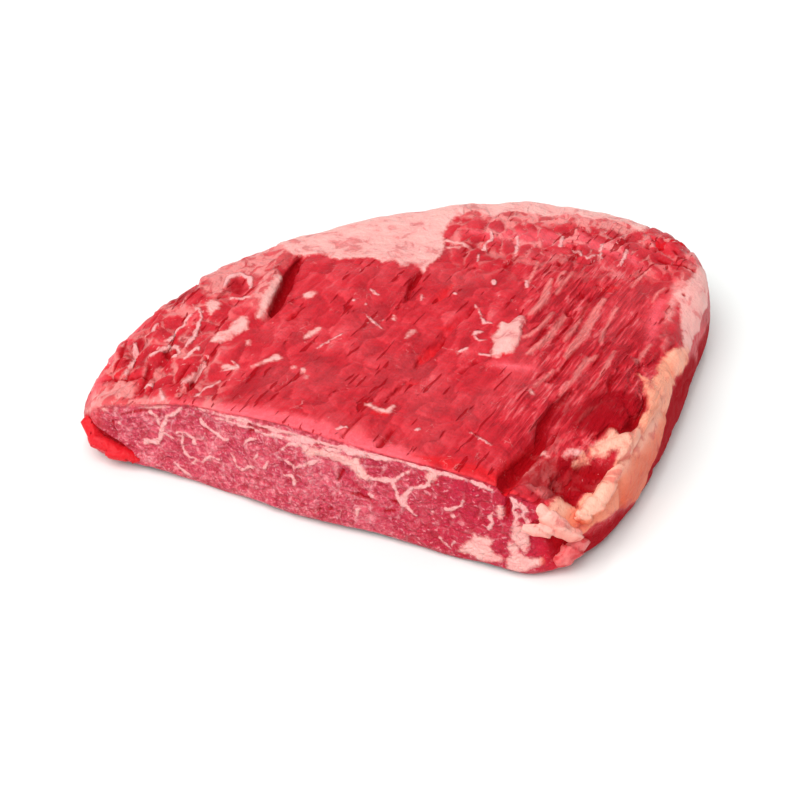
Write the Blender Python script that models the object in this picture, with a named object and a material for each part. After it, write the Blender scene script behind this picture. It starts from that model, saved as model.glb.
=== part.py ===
"""Raw flank steak, one piece of beef lying flat: half of a flank, cut across the grain with a knife.

The outline is a smooth closed curve in plan: the natural edge of the muscle, closed by the knife cut.
A profile is carried round that outline, square along the cut and rounded along the natural edge, and the
top and the base are filled in. Folds, seams, fat and torn corners are then raised from or sunk into the skin.
Sizes are millimetres until the last step, which turns them into metres.
"""

import math

import bmesh
import bpy
import numpy as np
from mathutils.geometry import delaunay_2d_cdt

MM = 0.001

# Plan of the steak seen from above: +X to the right, +Y away from the cut.
NATURAL_EDGE = [
    (-102.5, -21), (-101, -8), (-89, 16), (-70.5, 37.5), (-46, 61), (-16, 79), (14, 88.5), (42, 93.5),
    (68, 90), (90, 79), (102.5, 59), (103.5, 38), (96.5, 13), (87.5, -15), (75.5, -46), (62, -71), (50.5, -83),
]
KNIFE_CUT = [
    (42, -87.5), (31, -86.5), (21, -82.5), (-2.5, -72), (-34, -59), (-66, -42), (-91, -31.5), (-99, -27),
]
SPINE = ((-45, -12), (45, 5))

# Thickness in the middle, and how much thinner the piece is towards each side.
FULL_THICKNESS = 33.0
THINNER_AT_TIP = 7.0
THINNER_AT_RIGHT = 4.5
THINNER_AT_BACK = 2.5

# Profile of the wall, along the natural edge and along the cut: how far the shoulder and the foot
# are drawn in, the height of the widest point, and how square the corners are (2 is an ellipse).
EDGE_PROFILE = {"shoulder": 16.0, "foot": 6.0, "widest": 10.0, "square_top": 2.4, "square_foot": 2.2}
CUT_PROFILE = {"shoulder": 3.0, "foot": 1.5, "widest": 8.0, "square_top": 7.0, "square_foot": 5.0}
CUT_BLEND = 9.0

# Broad swells and hollows of the top: height, radius and middle.
SWELLS = [
    (-5.0, 60, (-98, -36)),
    (-8.0, 38, (55, -84)),
    (2.0, 30, (-30, -56)),
    (1.5, 30, (-14, 30)),
    (-1.5, 26, (62, 10)),
    (1.0, 24, (84, 50)),
]

# Seams, folds and pits of the top: height, then points of the line with the half width there.
RELIEF = {
    "slit beside the fat": (-4.5, [(-34, 44, 0.8), (-37, 36, 2.2), (-40, 24, 3.4), (-42, 13, 3.4), (-45, 2, 0.8)]),
    "fat raised along the slit": (1.5, [(-41, 40, 1), (-45, 26, 4), (-48, 12, 3.5), (-51, 0, 3), (-60, -10, 1)]),
    "notch below the fat": (-2.2, [(6, 34, 0.8), (3, 25, 2.6), (0, 14, 0.8)]),
    "lump of fat": (1.8, [(38, 5, 2), (35, -3, 5), (31, -12, 4.5), (28, -18, 2)]),
    "hollow before the corner": (-5.5, [(28, -86, 2), (32, -76, 5.5), (38, -62, 6), (48, -43, 4.5), (64, -20, 1)]),
    "pit in the corner": (-4.0, [(38, -77, 4), (46, -73, 8), (56, -67, 7), (62, -62, 2)]),
    "fold inside the strip": (-2.6, [(74, -22, 1), (72, -38, 2.6), (67, -52, 3.2), (57, -58, 2.4), (52, -60, 1)]),
    "fat strip": (2.4, [(86, -6, 2), (80, -28, 5), (73, -46, 6), (65, -62, 6), (57, -74, 5), (44, -85, 2)]),
    "lobe at the tip": (1.6, [(-92, 6, 2), (-91, -8, 4), (-93, -18, 2)]),
    "second lobe": (1.6, [(-79, 8, 2), (-80, -6, 4.5), (-83, -22, 2)]),
    "third lobe": (1.4, [(-68, 4, 2), (-71, -10, 4), (-75, -28, 2)]),
    "crease between the lobes": (-2.0, [(-84, 4, 1), (-86, -10, 2.4), (-88, -22, 1)]),
    "second crease": (-2.2, [(-73, 2, 1), (-76, -14, 2.6), (-80, -32, 1)]),
    "third crease": (-2.4, [(-60, -14, 0.8), (-64, -24, 2.6), (-70, -38, 0.8)]),
    "seam in the middle": (-1.4, [(22, 10, 0.8), (14, -2, 2.2), (8, -16, 2.6), (2, -26, 0.8)]),
    "seam below it": (-1.4, [(8, -24, 0.8), (-2, -38, 2.2), (-8, -46, 0.8)]),
    "seam by the front": (-1.2, [(-12, -44, 0.8), (-20, -58, 2.2), (-24, -64, 0.8)]),
    "coarse grain, first ridge": (1.3, [(52, 30, 1), (44, 12, 2.6), (38, 0, 1)]),
    "coarse grain, second ridge": (1.3, [(62, 20, 1), (52, -4, 2.6), (38, -24, 1)]),
    "coarse grain, third ridge": (1.3, [(68, 12, 1), (60, -10, 2.6), (48, -34, 1)]),
    "coarse grain, first groove": (-1.5, [(58, 24, 1), (50, 4, 2.2), (42, -14, 1)]),
    "coarse grain, second groove": (-1.5, [(66, 4, 1), (58, -16, 2.2), (50, -30, 1)]),
    "groove at the right": (-1.8, [(74, -4, 1), (68, -20, 2.4), (60, -38, 2.4), (52, -54, 1)]),
    "torn place at the back": (-2.0, [(84, 62, 1), (88, 54, 4), (92, 44, 1)]),
}

# Rolls of soft fat and torn meat that stand out of the wall, fused to it: points of the line
# with the half width across it and the half height there.
ROLLS = {
    "red lip under the tip": [
        (-100.0, -19, 15, 1.0, 1.0), (-100.8, -23.4, 11.4, 2.2, 2.2), (-98.2, -27.8, 7.4, 3.2, 3.0),
        (-93.2, -30.6, 5.2, 3.6, 3.2), (-88, -32.6, 4.8, 3.4, 2.8), (-83.5, -34, 4.8, 1.6, 1.4),
    ],
    "upper petal of the corner": [
        (59, -73, 19.5, 1.6, 1.6), (54, -77.4, 18.5, 3.6, 3.4), (49, -80.8, 19.5, 3.6, 3.2), (44, -82, 21.5, 1.6, 1.6),
    ],
    "lower petal of the corner": [
        (53, -78.2, 13.5, 1.6, 1.6), (48, -82, 16, 3.6, 3.2), (42, -84.4, 19.4, 3.4, 3.0), (35, -84.8, 21, 1.6, 1.6),
    ],
    "lump under the petals": [
        (56, -75, 6.5, 2.0, 2.0), (51, -79.6, 7, 3.8, 4.0), (45.5, -83, 6.5, 3.8, 3.6), (40, -84.6, 7, 2.0, 2.2),
    ],
    "flap at the back": [(84, 56, 27.5, 2.0, 1.2), (90, 60, 26.5, 4.0, 2.0), (96.5, 61, 24, 1.8, 1.2)],
}
ROLL_SIDES = 10
ROLL_RINGS = 12


# How closely the skin is drawn: columns and rings of the wall, and the top along and across the grain.
WALL_SPACING = 3.4
WALL_RINGS = 12
GRAIN_ANGLE = 63.0
ALONG_GRAIN = 5.2
ACROSS_GRAIN = 2.4
BASE_SPACING = 12.0
SMALLEST_EDGE = 0.1


def smooth_step(low, high, value):
    """0 below low, 1 above high and a smooth ramp between."""
    t = np.clip((np.asarray(value, float) - low) / (high - low), 0, 1)
    return t * t * (3 - 2 * t)


def closed_curve(points, steps=24):
    """A centripetal Catmull-Rom curve through the points and back to the first, as a dense polygon."""
    p = np.array(points, float)
    n = len(p)
    drawn = []
    for i in range(n):
        a, b, c, d = p[i - 1], p[i], p[(i + 1) % n], p[(i + 2) % n]
        knots = [0.0]
        for start, end in ((a, b), (b, c), (c, d)):
            knots.append(knots[-1] + math.sqrt(np.linalg.norm(end - start)))
        t0, t1, t2, t3 = knots
        t = np.linspace(t1, t2, steps, endpoint=False)[:, None]
        ab = (t1 - t) / (t1 - t0) * a + (t - t0) / (t1 - t0) * b
        bc = (t2 - t) / (t2 - t1) * b + (t - t1) / (t2 - t1) * c
        cd = (t3 - t) / (t3 - t2) * c + (t - t2) / (t3 - t2) * d
        abc = (t2 - t) / (t2 - t0) * ab + (t - t0) / (t2 - t0) * bc
        bcd = (t3 - t) / (t3 - t1) * bc + (t - t1) / (t3 - t1) * cd
        drawn.append((t2 - t) / (t2 - t1) * abc + (t - t1) / (t2 - t1) * bcd)
    return np.concatenate(drawn)


def outline(spacing):
    """Points evenly along the outline, and how far each belongs to the knife cut, from 0 to 1."""
    dense = closed_curve(NATURAL_EDGE + KNIFE_CUT)
    ring = np.vstack([dense, dense[:1]])
    along = np.concatenate([[0], np.cumsum(np.linalg.norm(np.diff(ring, axis=0), axis=1))])
    count = round(along[-1] / spacing)
    at = np.arange(count) * along[-1] / count
    points = np.stack([np.interp(at, along, ring[:, k]) for k in (0, 1)], 1)
    starts = along[len(NATURAL_EDGE) * 24]
    cut = smooth_step(starts - CUT_BLEND, starts + CUT_BLEND, at)
    cut *= 1 - smooth_step(along[-1] - 2 * CUT_BLEND, along[-1], at)
    return points, cut


def thickness(x, y):
    """Height of the smooth top over the base at a place in plan."""
    z = FULL_THICKNESS - THINNER_AT_TIP * smooth_step(-62, -108, x)
    z = z - THINNER_AT_RIGHT * smooth_step(25, 104, x)
    return z - THINNER_AT_BACK * smooth_step(10, 90, y)


def nearness(at, line):
    """1 on a line of (x, y, half width) points, falling smoothly to 0 half a width away, narrow ends shallow."""
    line = np.array(line, float)
    best = np.zeros(len(at))
    widest = line[:, 2].max()
    for a, b in zip(line[:-1], line[1:]):
        along = b[:2] - a[:2]
        t = np.clip((at - a[:2]) @ along / (along @ along), 0, 1)
        distance = np.linalg.norm(at - a[:2] - t[:, None] * along, axis=1)
        half_width = a[2] + t * (b[2] - a[2])
        best = np.maximum(best, (1 - smooth_step(0, 1, distance / half_width)) * half_width / widest)
    return best


def relief(at):
    """How much higher than the smooth top the steak is at places in plan."""
    z = np.zeros(len(at))
    for height, radius, middle in SWELLS:
        z += height * (1 - smooth_step(0, 1, np.linalg.norm(at - middle, axis=1) / radius))
    for height, line in RELIEF.values():
        z += height * nearness(at, line)
    return z


def top_height(at):
    """Height of the top over the base at places in plan."""
    return thickness(at[:, 0], at[:, 1]) + relief(at)


def raised(points):
    """The points of the skin with the relief added: all of it on the top, fading down the wall."""
    smooth_top = thickness(points[:, 0], points[:, 1])
    share = smooth_step(0.3, 0.8, points[:, 2] / smooth_top)
    return points + np.column_stack([np.zeros((len(points), 2)), share * relief(points[:, :2])])


def inward(points):
    """Unit directions from outline points towards the spine of the piece."""
    a, b = np.array(SPINE, float)
    t = np.clip((points - a) @ (b - a) / ((b - a) @ (b - a)), 0, 1)
    to_spine = a + t[:, None] * (b - a) - points
    return to_spine / np.linalg.norm(to_spine, axis=1)[:, None]


def wall(points, cut, rings):
    """The wall as rings x columns of points, from the edge of the base up to the edge of the top."""
    profile = {k: EDGE_PROFILE[k] + cut * (CUT_PROFILE[k] - EDGE_PROFILE[k]) for k in EDGE_PROFILE}
    angles = np.radians(np.linspace(-90, 90, 181))
    cos, sin = np.cos(angles).clip(0), np.abs(np.sin(angles))
    direction = inward(points)
    columns = []
    for j, point in enumerate(points):
        p = {k: v[j] for k, v in profile.items()}
        upper = angles > 0
        power = np.where(upper, 2 / p["square_top"], 2 / p["square_foot"])
        inset = np.where(upper, p["shoulder"], p["foot"]) * (1 - cos**power)
        plan = point + inset[:, None] * direction[j]
        top = thickness(plan[:, 0], plan[:, 1])
        z = np.where(upper, p["widest"] + (top - p["widest"]) * sin**power, p["widest"] * (1 - sin**power))
        line = np.column_stack([plan, z])
        run = np.concatenate([[0], np.cumsum(np.linalg.norm(np.diff(line, axis=0), axis=1))])
        at = np.linspace(0, run[-1], rings)
        columns.append(np.stack([np.interp(at, run, line[:, k]) for k in range(3)], 1))
    return np.stack(columns, 1)


def filled(loop, along, across):
    """Extra points inside a plan loop, and the triangles that fill it, numbered loop first.

    The points are spaced along and across the grain, and the triangles are drawn long in its direction.
    """
    turn = math.radians(GRAIN_ANGLE)
    to_grain = np.array([[math.cos(turn) / along, -math.sin(turn) / across],
                         [math.sin(turn) / along, math.cos(turn) / across]])
    edge = loop @ to_grain
    following = np.roll(edge, -1, 0)
    low, high = edge.min(0), edge.max(0)
    inside = []
    for k, y in enumerate(np.arange(low[1] + 0.5, high[1], 1)):
        x = np.arange(low[0] + (k % 2) / 2, high[0], 1)
        crosses = (edge[:, 1] > y) != (following[:, 1] > y)
        a, b = edge[crosses], following[crosses]
        hits = a[:, 0] + (y - a[:, 1]) / (b[:, 1] - a[:, 1]) * (b[:, 0] - a[:, 0])
        x = x[(x[:, None] > hits).sum(1) % 2 == 1]
        for at in x:
            if np.min(np.linalg.norm(edge - (at, y), axis=1)) > 0.6:
                inside.append((at, y))
    inside = np.array(inside)
    drawn = delaunay_2d_cdt(np.vstack([edge, inside]).tolist(), [], [list(range(len(loop)))], 1, 1e-6)
    return inside @ np.linalg.inv(to_grain), [list(face) for face in drawn[2]]


def steak_body():
    """The whole skin, closed: base, wall and top, as points and faces."""
    points, cut = outline(WALL_SPACING)
    shell = wall(points, cut, WALL_RINGS)
    rings, columns, _ = shell.shape
    top_points, top_faces = filled(shell[-1, :, :2], ALONG_GRAIN, ACROSS_GRAIN)
    base_points, base_faces = filled(shell[0, :, :2], BASE_SPACING, BASE_SPACING)
    vertices = np.vstack([
        shell.reshape(-1, 3),
        np.column_stack([top_points, thickness(top_points[:, 0], top_points[:, 1])]),
        np.column_stack([base_points, np.zeros(len(base_points))]),
    ])
    vertices = raised(vertices)
    faces = []
    for i in range(rings - 1):
        for j in range(columns):
            k = (j + 1) % columns
            faces.append([i * columns + k, i * columns + j, (i + 1) * columns + j, (i + 1) * columns + k])
    top_start = rings * columns
    base_start = top_start + len(top_points)
    last = (rings - 1) * columns
    for face in top_faces:
        faces.append([last + v if v < columns else top_start + v - columns for v in face])
    for face in base_faces:
        faces.append([v if v < columns else base_start + v - columns for v in face])
    return vertices, faces


def beef_material():
    """Raw lean beef with a wet satin surface."""
    material = bpy.data.materials.new("raw_beef")
    material.use_nodes = True
    shader = material.node_tree.nodes["Principled BSDF"]
    shader.inputs["Base Color"].default_value = (0.62, 0.06, 0.08, 1)
    shader.inputs["Roughness"].default_value = 0.35
    shader.inputs["Metallic"].default_value = 0.0
    return material


def roll(name, line):
    """A closed roll round a line of (x, y, z, half width, half height) points, rounded off at both ends."""
    line = np.array(line, float)
    at = (1 - np.cos(np.linspace(0, math.pi, ROLL_RINGS + 2))) / 2 * (len(line) - 1)
    t = np.stack([np.interp(at, np.arange(len(line)), line[:, k]) for k in range(5)], 1)
    end = np.sqrt(np.clip(1 - np.linspace(-1, 1, ROLL_RINGS + 2) ** 4, 0, 1))
    vertices = [t[0, :3], t[-1, :3]]
    for k in range(1, ROLL_RINGS + 1):
        forward = t[k + 1, :3] - t[k - 1, :3]
        across = np.cross(forward, (0, 0, 1))
        across /= np.linalg.norm(across)
        up = np.cross(across, forward)
        up /= np.linalg.norm(up)
        for j in range(ROLL_SIDES):
            turn = math.tau * j / ROLL_SIDES
            offset = across * math.cos(turn) * t[k, 3] + up * math.sin(turn) * t[k, 4]
            vertices.append(t[k, :3] + end[k] * offset)
    faces = []
    for k in range(ROLL_RINGS - 1):
        for j in range(ROLL_SIDES):
            a, b = 2 + k * ROLL_SIDES + j, 2 + k * ROLL_SIDES + (j + 1) % ROLL_SIDES
            faces.append([a, b, b + ROLL_SIDES, a + ROLL_SIDES])
    last = 2 + (ROLL_RINGS - 1) * ROLL_SIDES
    for j in range(ROLL_SIDES):
        following = (j + 1) % ROLL_SIDES
        faces.append([0, 2 + following, 2 + j])
        faces.append([1, last + j, last + following])
    return solid(name, np.array(vertices), faces)


def solid(name, vertices, faces):
    """An object with outward faces, made from points in millimetres."""
    mesh = bpy.data.meshes.new(name)
    mesh.from_pydata((vertices * MM).tolist(), [], faces)
    build = bmesh.new()
    build.from_mesh(mesh)
    bmesh.ops.recalc_face_normals(build, faces=build.faces)
    build.to_mesh(mesh)
    build.free()
    made = bpy.data.objects.new(name, mesh)
    bpy.context.scene.collection.objects.link(made)
    return made


def joined(body, others):
    """Fuses the other solids to the body and removes them."""
    group = bpy.data.collections.new("fused")
    for other in others:
        group.objects.link(other)
    union = body.modifiers.new("fused", "BOOLEAN")
    union.operation = "UNION"
    union.operand_type = "COLLECTION"
    union.collection = group
    union.solver = "EXACT"
    evaluated = body.evaluated_get(bpy.context.evaluated_depsgraph_get())
    mesh = bpy.data.meshes.new_from_object(evaluated)
    body.modifiers.clear()
    body.data = mesh
    tidy = bmesh.new()
    tidy.from_mesh(mesh)
    bmesh.ops.triangulate(tidy, faces=tidy.faces)
    bmesh.ops.remove_doubles(tidy, verts=tidy.verts, dist=SMALLEST_EDGE * MM)
    bmesh.ops.dissolve_degenerate(tidy, edges=tidy.edges, dist=SMALLEST_EDGE * MM)
    tidy.to_mesh(mesh)
    tidy.free()
    for other in others:
        bpy.data.objects.remove(other)
    bpy.data.collections.remove(group)


def centred(mesh):
    """Moves the mesh so that the middle of its plan is over the origin."""
    points = np.empty(len(mesh.vertices) * 3, np.float32)
    mesh.vertices.foreach_get("co", points)
    points = points.reshape(-1, 3)
    middle = (points.min(0) + points.max(0)) / 2
    middle[2] = 0
    mesh.vertices.foreach_set("co", (points - middle).ravel())
    mesh.update()


def main():
    """Clears the scene and builds the steak."""
    for old in list(bpy.data.objects):
        bpy.data.objects.remove(old)
    steak = solid("steak", *steak_body())
    joined(steak, [roll(name, line) for name, line in ROLLS.items()])
    centred(steak.data)
    steak.data.shade_smooth()
    steak.data.materials.clear()
    steak.data.materials.append(beef_material())


main()
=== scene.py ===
"""Looks of a raw flank steak: half a flank, cut across the grain, lying flat on a pale studio floor.

Plan places are in millimetres, +X to the right and +Y away from the knife cut. Places on the wall are
(distance along the outline, height). Both become metres when a mesh is made.
"""

import math
from functools import partial

import bmesh
import bpy
import numpy as np
from bpy.props import FloatProperty, FloatVectorProperty, PointerProperty
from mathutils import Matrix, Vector
from mathutils.geometry import delaunay_2d_cdt


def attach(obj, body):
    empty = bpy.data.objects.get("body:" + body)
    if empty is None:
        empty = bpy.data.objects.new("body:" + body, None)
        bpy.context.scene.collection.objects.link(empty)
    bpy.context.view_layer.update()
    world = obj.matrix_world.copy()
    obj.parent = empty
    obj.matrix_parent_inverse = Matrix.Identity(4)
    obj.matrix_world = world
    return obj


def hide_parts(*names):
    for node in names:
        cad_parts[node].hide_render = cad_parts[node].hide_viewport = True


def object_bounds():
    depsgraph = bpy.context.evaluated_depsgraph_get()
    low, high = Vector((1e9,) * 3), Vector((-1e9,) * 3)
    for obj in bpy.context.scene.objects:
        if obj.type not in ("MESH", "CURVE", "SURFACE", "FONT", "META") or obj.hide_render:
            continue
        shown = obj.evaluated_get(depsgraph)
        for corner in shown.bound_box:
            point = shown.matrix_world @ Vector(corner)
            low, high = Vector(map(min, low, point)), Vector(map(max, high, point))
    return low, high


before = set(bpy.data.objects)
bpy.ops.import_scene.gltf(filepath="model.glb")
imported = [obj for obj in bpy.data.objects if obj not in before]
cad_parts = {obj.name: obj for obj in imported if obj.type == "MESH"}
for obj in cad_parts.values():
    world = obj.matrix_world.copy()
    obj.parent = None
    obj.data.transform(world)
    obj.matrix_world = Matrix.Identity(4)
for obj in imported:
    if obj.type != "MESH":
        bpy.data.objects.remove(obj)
CAD_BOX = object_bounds()

bl_info = {
    "name": "Raw flank steak",
    "version": (1, 0, 0),
    "blender": (4, 5, 0),
    "location": "View3D > Sidebar > Steak",
    "description": "Builds a raw flank steak with its fat, seams and cut face, and a studio stage",
    "category": "Add Mesh",
}

MM = 0.001

# Plan of the steak seen from above, the same as that of the solid.
NATURAL_EDGE = [
    (-102.5, -21), (-101, -8), (-89, 16), (-70.5, 37.5), (-46, 61), (-16, 79), (14, 88.5), (42, 93.5),
    (68, 90), (90, 79), (102.5, 59), (103.5, 38), (96.5, 13), (87.5, -15), (75.5, -46), (62, -71),
    (50.5, -83),
]
KNIFE_CUT = [
    (42, -87.5), (31, -86.5), (21, -82.5), (-2.5, -72), (-34, -59), (-66, -42), (-91, -31.5), (-99, -27),
]
SPINE = ((-45, -12), (45, 5))
# Middle of that plan with the petals and the lip, which stands over the origin.
PLAN_MIDDLE = (0.658, 2.884, 0.0)

FULL_THICKNESS = 33.0
# How much thinner it is at the tip, at the right and at the back, the axis, and where that starts and ends.
THINNER = [(7.0, 0, -62, -108), (4.5, 0, 25, 104), (2.5, 1, 10, 90)]
EDGE_PROFILE = {"shoulder": 16.0, "foot": 6.0, "widest": 10.0, "square_top": 2.4, "square_foot": 2.2}
CUT_PROFILE = {"shoulder": 3.0, "foot": 1.5, "widest": 8.0, "square_top": 7.0, "square_foot": 5.0}
CUT_BLEND = 9.0
# The shares of the wall's height between which the relief of the top comes in.
RELIEF_COMES_IN = (0.3, 0.8)

# Broad swells and hollows of the top: height, radius and middle.
SWELLS = [
    (-5.0, 60, (-98, -36)), (-8.0, 38, (55, -84)), (2.0, 30, (-30, -56)),
    (1.5, 30, (-14, 30)), (-1.5, 26, (62, 10)), (1.0, 24, (84, 50)),
]

# Seams, folds and pits of the top: height, then points of the line with the half width there.
RELIEF = {
    "slit beside the fat": (-3.4, [
        (-34, 44, 0.8), (-37, 36, 1.8), (-40, 24, 2.6), (-42, 13, 2.6), (-45, 2, 0.8),
    ]),
    "fat raised along the slit": (1.5, [
        (-41, 40, 1), (-45, 26, 4), (-48, 12, 3.5), (-51, 0, 3), (-60, -10, 1),
    ]),
    "notch below the fat": (-2.2, [(6, 34, 0.8), (3, 25, 2.6), (0, 14, 0.8)]),
    "lump of fat": (1.8, [(38, 5, 2), (35, -3, 5), (31, -12, 4.5), (28, -18, 2)]),
    "hollow before the corner": (-5, [
        (28, -86, 2), (32, -76, 5.5), (38, -62, 6), (48, -43, 4.5), (64, -20, 1),
    ]),
    "pit in the corner": (-4, [(38, -77, 4), (46, -73, 8), (56, -67, 7), (62, -62, 2)]),
    "fold inside the strip": (-2.6, [
        (74, -22, 1), (72, -38, 2.6), (67, -52, 3.2), (57, -58, 2.4), (52, -60, 1),
    ]),
    "fat strip": (2.4, [(86, -6, 2), (80, -28, 5), (73, -46, 6), (65, -62, 6), (57, -74, 5), (44, -85, 2)]),
    "lobe at the tip": (1.6, [(-92, 6, 2), (-91, -8, 4), (-93, -18, 2)]),
    "second lobe": (1.6, [(-79, 8, 2), (-80, -6, 4.5), (-83, -22, 2)]),
    "third lobe": (1.4, [(-68, 4, 2), (-71, -10, 4), (-75, -28, 2)]),
    "crease between the lobes": (-2, [(-84, 4, 1), (-86, -10, 2.4), (-88, -22, 1)]),
    "second crease": (-2.2, [(-73, 2, 1), (-76, -14, 2.6), (-80, -32, 1)]),
    "third crease": (-2.4, [(-60, -14, 0.8), (-64, -24, 2.6), (-70, -38, 0.8)]),
    "seam in the middle": (-1.4, [(22, 10, 0.8), (14, -2, 2.2), (8, -16, 2.6), (2, -26, 0.8)]),
    "seam below it": (-1.4, [(8, -24, 0.8), (-2, -38, 2.2), (-8, -46, 0.8)]),
    "seam by the front": (-1.2, [(-12, -44, 0.8), (-20, -58, 2.2), (-24, -64, 0.8)]),
    "coarse grain, first ridge": (1.3, [(52, 30, 1), (44, 12, 2.6), (38, 0, 1)]),
    "coarse grain, second ridge": (1.3, [(62, 20, 1), (52, -4, 2.6), (38, -24, 1)]),
    "coarse grain, third ridge": (1.3, [(68, 12, 1), (60, -10, 2.6), (48, -34, 1)]),
    "coarse grain, first groove": (-1.5, [(58, 24, 1), (50, 4, 2.2), (42, -14, 1)]),
    "coarse grain, second groove": (-1.5, [(66, 4, 1), (58, -16, 2.2), (50, -30, 1)]),
    "groove at the right": (-1.8, [(74, -4, 1), (68, -20, 2.4), (60, -38, 2.4), (52, -54, 1)]),
    "first fold across the strip": (-1.7, [(73, -41, 0.8), (79, -37, 2), (87, -33, 1)]),
    "second fold across the strip": (-1.8, [(65, -58, 0.8), (71, -56, 2), (79, -53, 1)]),
    "third fold across the strip": (-1.3, [(79, -18, 0.8), (85, -15, 1.8), (93, -11, 1)]),
    "torn place at the back": (-2, [(84, 62, 1), (88, 54, 4), (92, 44, 1)]),
}

# Marks on the top. A mark is how high it stands, then its outline as (x, y) points or its line as
# (x, y, half width) points.
TOP_FAT = {
    "back": (0.5, [
        (-40, 46), (-38, 44), (-31, 44), (-27, 43), (-25, 40), (-22, 39), (-20.5, 40), (-11, 39.5),
        (-9, 38), (-8, 36), (-6, 37), (-4, 40), (-3, 38), (-2, 34), (0, 34.5), (2, 37), (4, 35), (6, 32.5),
        (8, 37), (10, 40), (12, 44), (13, 49), (12.8, 60), (15, 66), (17, 70), (22, 77), (30, 100),
        (-20, 100), (-60, 80), (-44, 56),
    ]),
    "far rim": (0.3, [
        (17, 70), (24, 76), (30, 71), (36, 75), (40, 75), (50, 74), (60, 76), (65, 73), (70, 75), (77, 72),
        (80, 68), (82, 67), (84, 72), (86, 80), (84, 100), (10, 100),
    ]),
    "right rim": (0.3, [
        (88, 24), (93, 30), (97, 40), (100, 50), (112, 52), (112, 30), (98, 2), (90, -8), (90, 10),
        (90, 20),
    ]),
    "strip": (0.5, [
        (92, 4), (84, -6), (80, -15), (78, -22), (75, -28), (74, -33), (74, -38), (73, -42), (71, -45),
        (68.5, -49), (67, -54), (65, -57), (63, -62), (62, -66), (58, -69), (55, -72), (52, -75), (50, -79),
        (45, -80), (42, -84), (39, -90), (60, -100), (90, -60), (104, 0),
    ]),
    "lump": (0.7, [
        (36.5, 4.5), (38, 3.5), (38, 1), (37, -2), (36, -5), (36, -8), (35, -12), (34, -16), (33, -17.5),
        (30, -17.5), (28.5, -20), (27, -18), (27, -14), (28, -11), (27, -8), (28, -6), (29.5, -3), (30, 0),
        (31, 1), (33, 0), (35, 3),
    ]),
    "long patch": (0.4, [
        (-62, -10), (-60, -5), (-56.5, -4), (-56, 0), (-53, 4), (-51, 2), (-50.5, -3), (-53, -5), (-56, -9),
        (-59, -10),
    ]),
    "blob": (0.5, [(-65, 12), (-63, 15), (-60, 12), (-61, 8), (-63, 5), (-64, 7)]),
    "left rim": (0.2, [(-88, 18, 0.4), (-78, 32, 1.4), (-66, 45, 2.2), (-52, 58, 2.6), (-42, 64, 2.6)]),
    "band beside the slit": (0.5, [
        (-48, 3, 0.5), (-46.5, 8, 1), (-45.5, 14, 1.3), (-44, 20, 1.2), (-42, 28, 0.7),
    ]),
    "flakes over the corner": (0.5, [
        (61, -52.5), (64, -53), (66.5, -54), (67, -58), (65, -60), (62.5, -60), (59, -62.5), (55, -63),
        (54.5, -60), (57, -57.5), (60, -56),
    ]),
    "dot left of the middle": (0.3, [(-32, 17, 1.7), (-31, 18, 1.6)]),
    "second dot": (0.3, [(-28, -3, 0.9), (-32, -8, 0.6)]),
    "third dot": (0.3, [(-41, -19.5, 1.7), (-42.5, -20.5, 1), (-48, -24, 0.4)]),
    "triangle": (0.3, [(-56.5, -23.5, 1.3), (-53.5, -24.5, 0.7)]),
    "small dot": (0.2, [(-50, -10, 0.6), (-50, -12, 0.6)]),
    "dot by the crack": (0.2, [(-32, -26, 0.7), (-32, -28, 0.5)]),
    "dot below it": (0.2, [(-31, -30.5, 0.5), (-31, -31.5, 0.5)]),
    "speck": (0.2, [(-35, -25, 0.6)]),
    "mark in the middle": (0.2, [(2, -4, 0.9), (0, -8, 0.3)]),
    "fleck in the middle": (0.2, [(-4, 5, 0.5), (-4, 3, 0.5)]),
    "hook by the front": (0.3, [(-12, -45, 0.6), (-9, -48, 0.8), (-6, -49, 0.7), (-4, -46, 0.4)]),
    "tendon at the back": (0.4, [(14, 54, 0.8), (17, 52.5, 0.8), (20.5, 49.8, 0.7), (22, 48, 0.4)]),
    "second tendon": (0.4, [(14, 49, 0.6), (18, 48.5, 0.4)]),
    "hooked tendon": (0.4, [(72.5, -23, 0.5), (74, -24, 0.7), (75, -27, 0.7), (74.5, -30, 0.4)]),
    "ring in the pit": (0.5, [
        (47, -65, 0.6), (49, -63, 0.8), (53, -63, 0.8), (54, -64, 0.6), (50, -66, 0.5),
    ]),
    "lips by the hollow": (0.4, [(38, -62, 0.5), (40, -61.5, 0.7), (41, -64, 0.7), (42, -66, 0.4)]),
    "dots before the corner": (0.2, [(38, -38, 0.5), (38.5, -38.5, 0.5)]),
}

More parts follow.
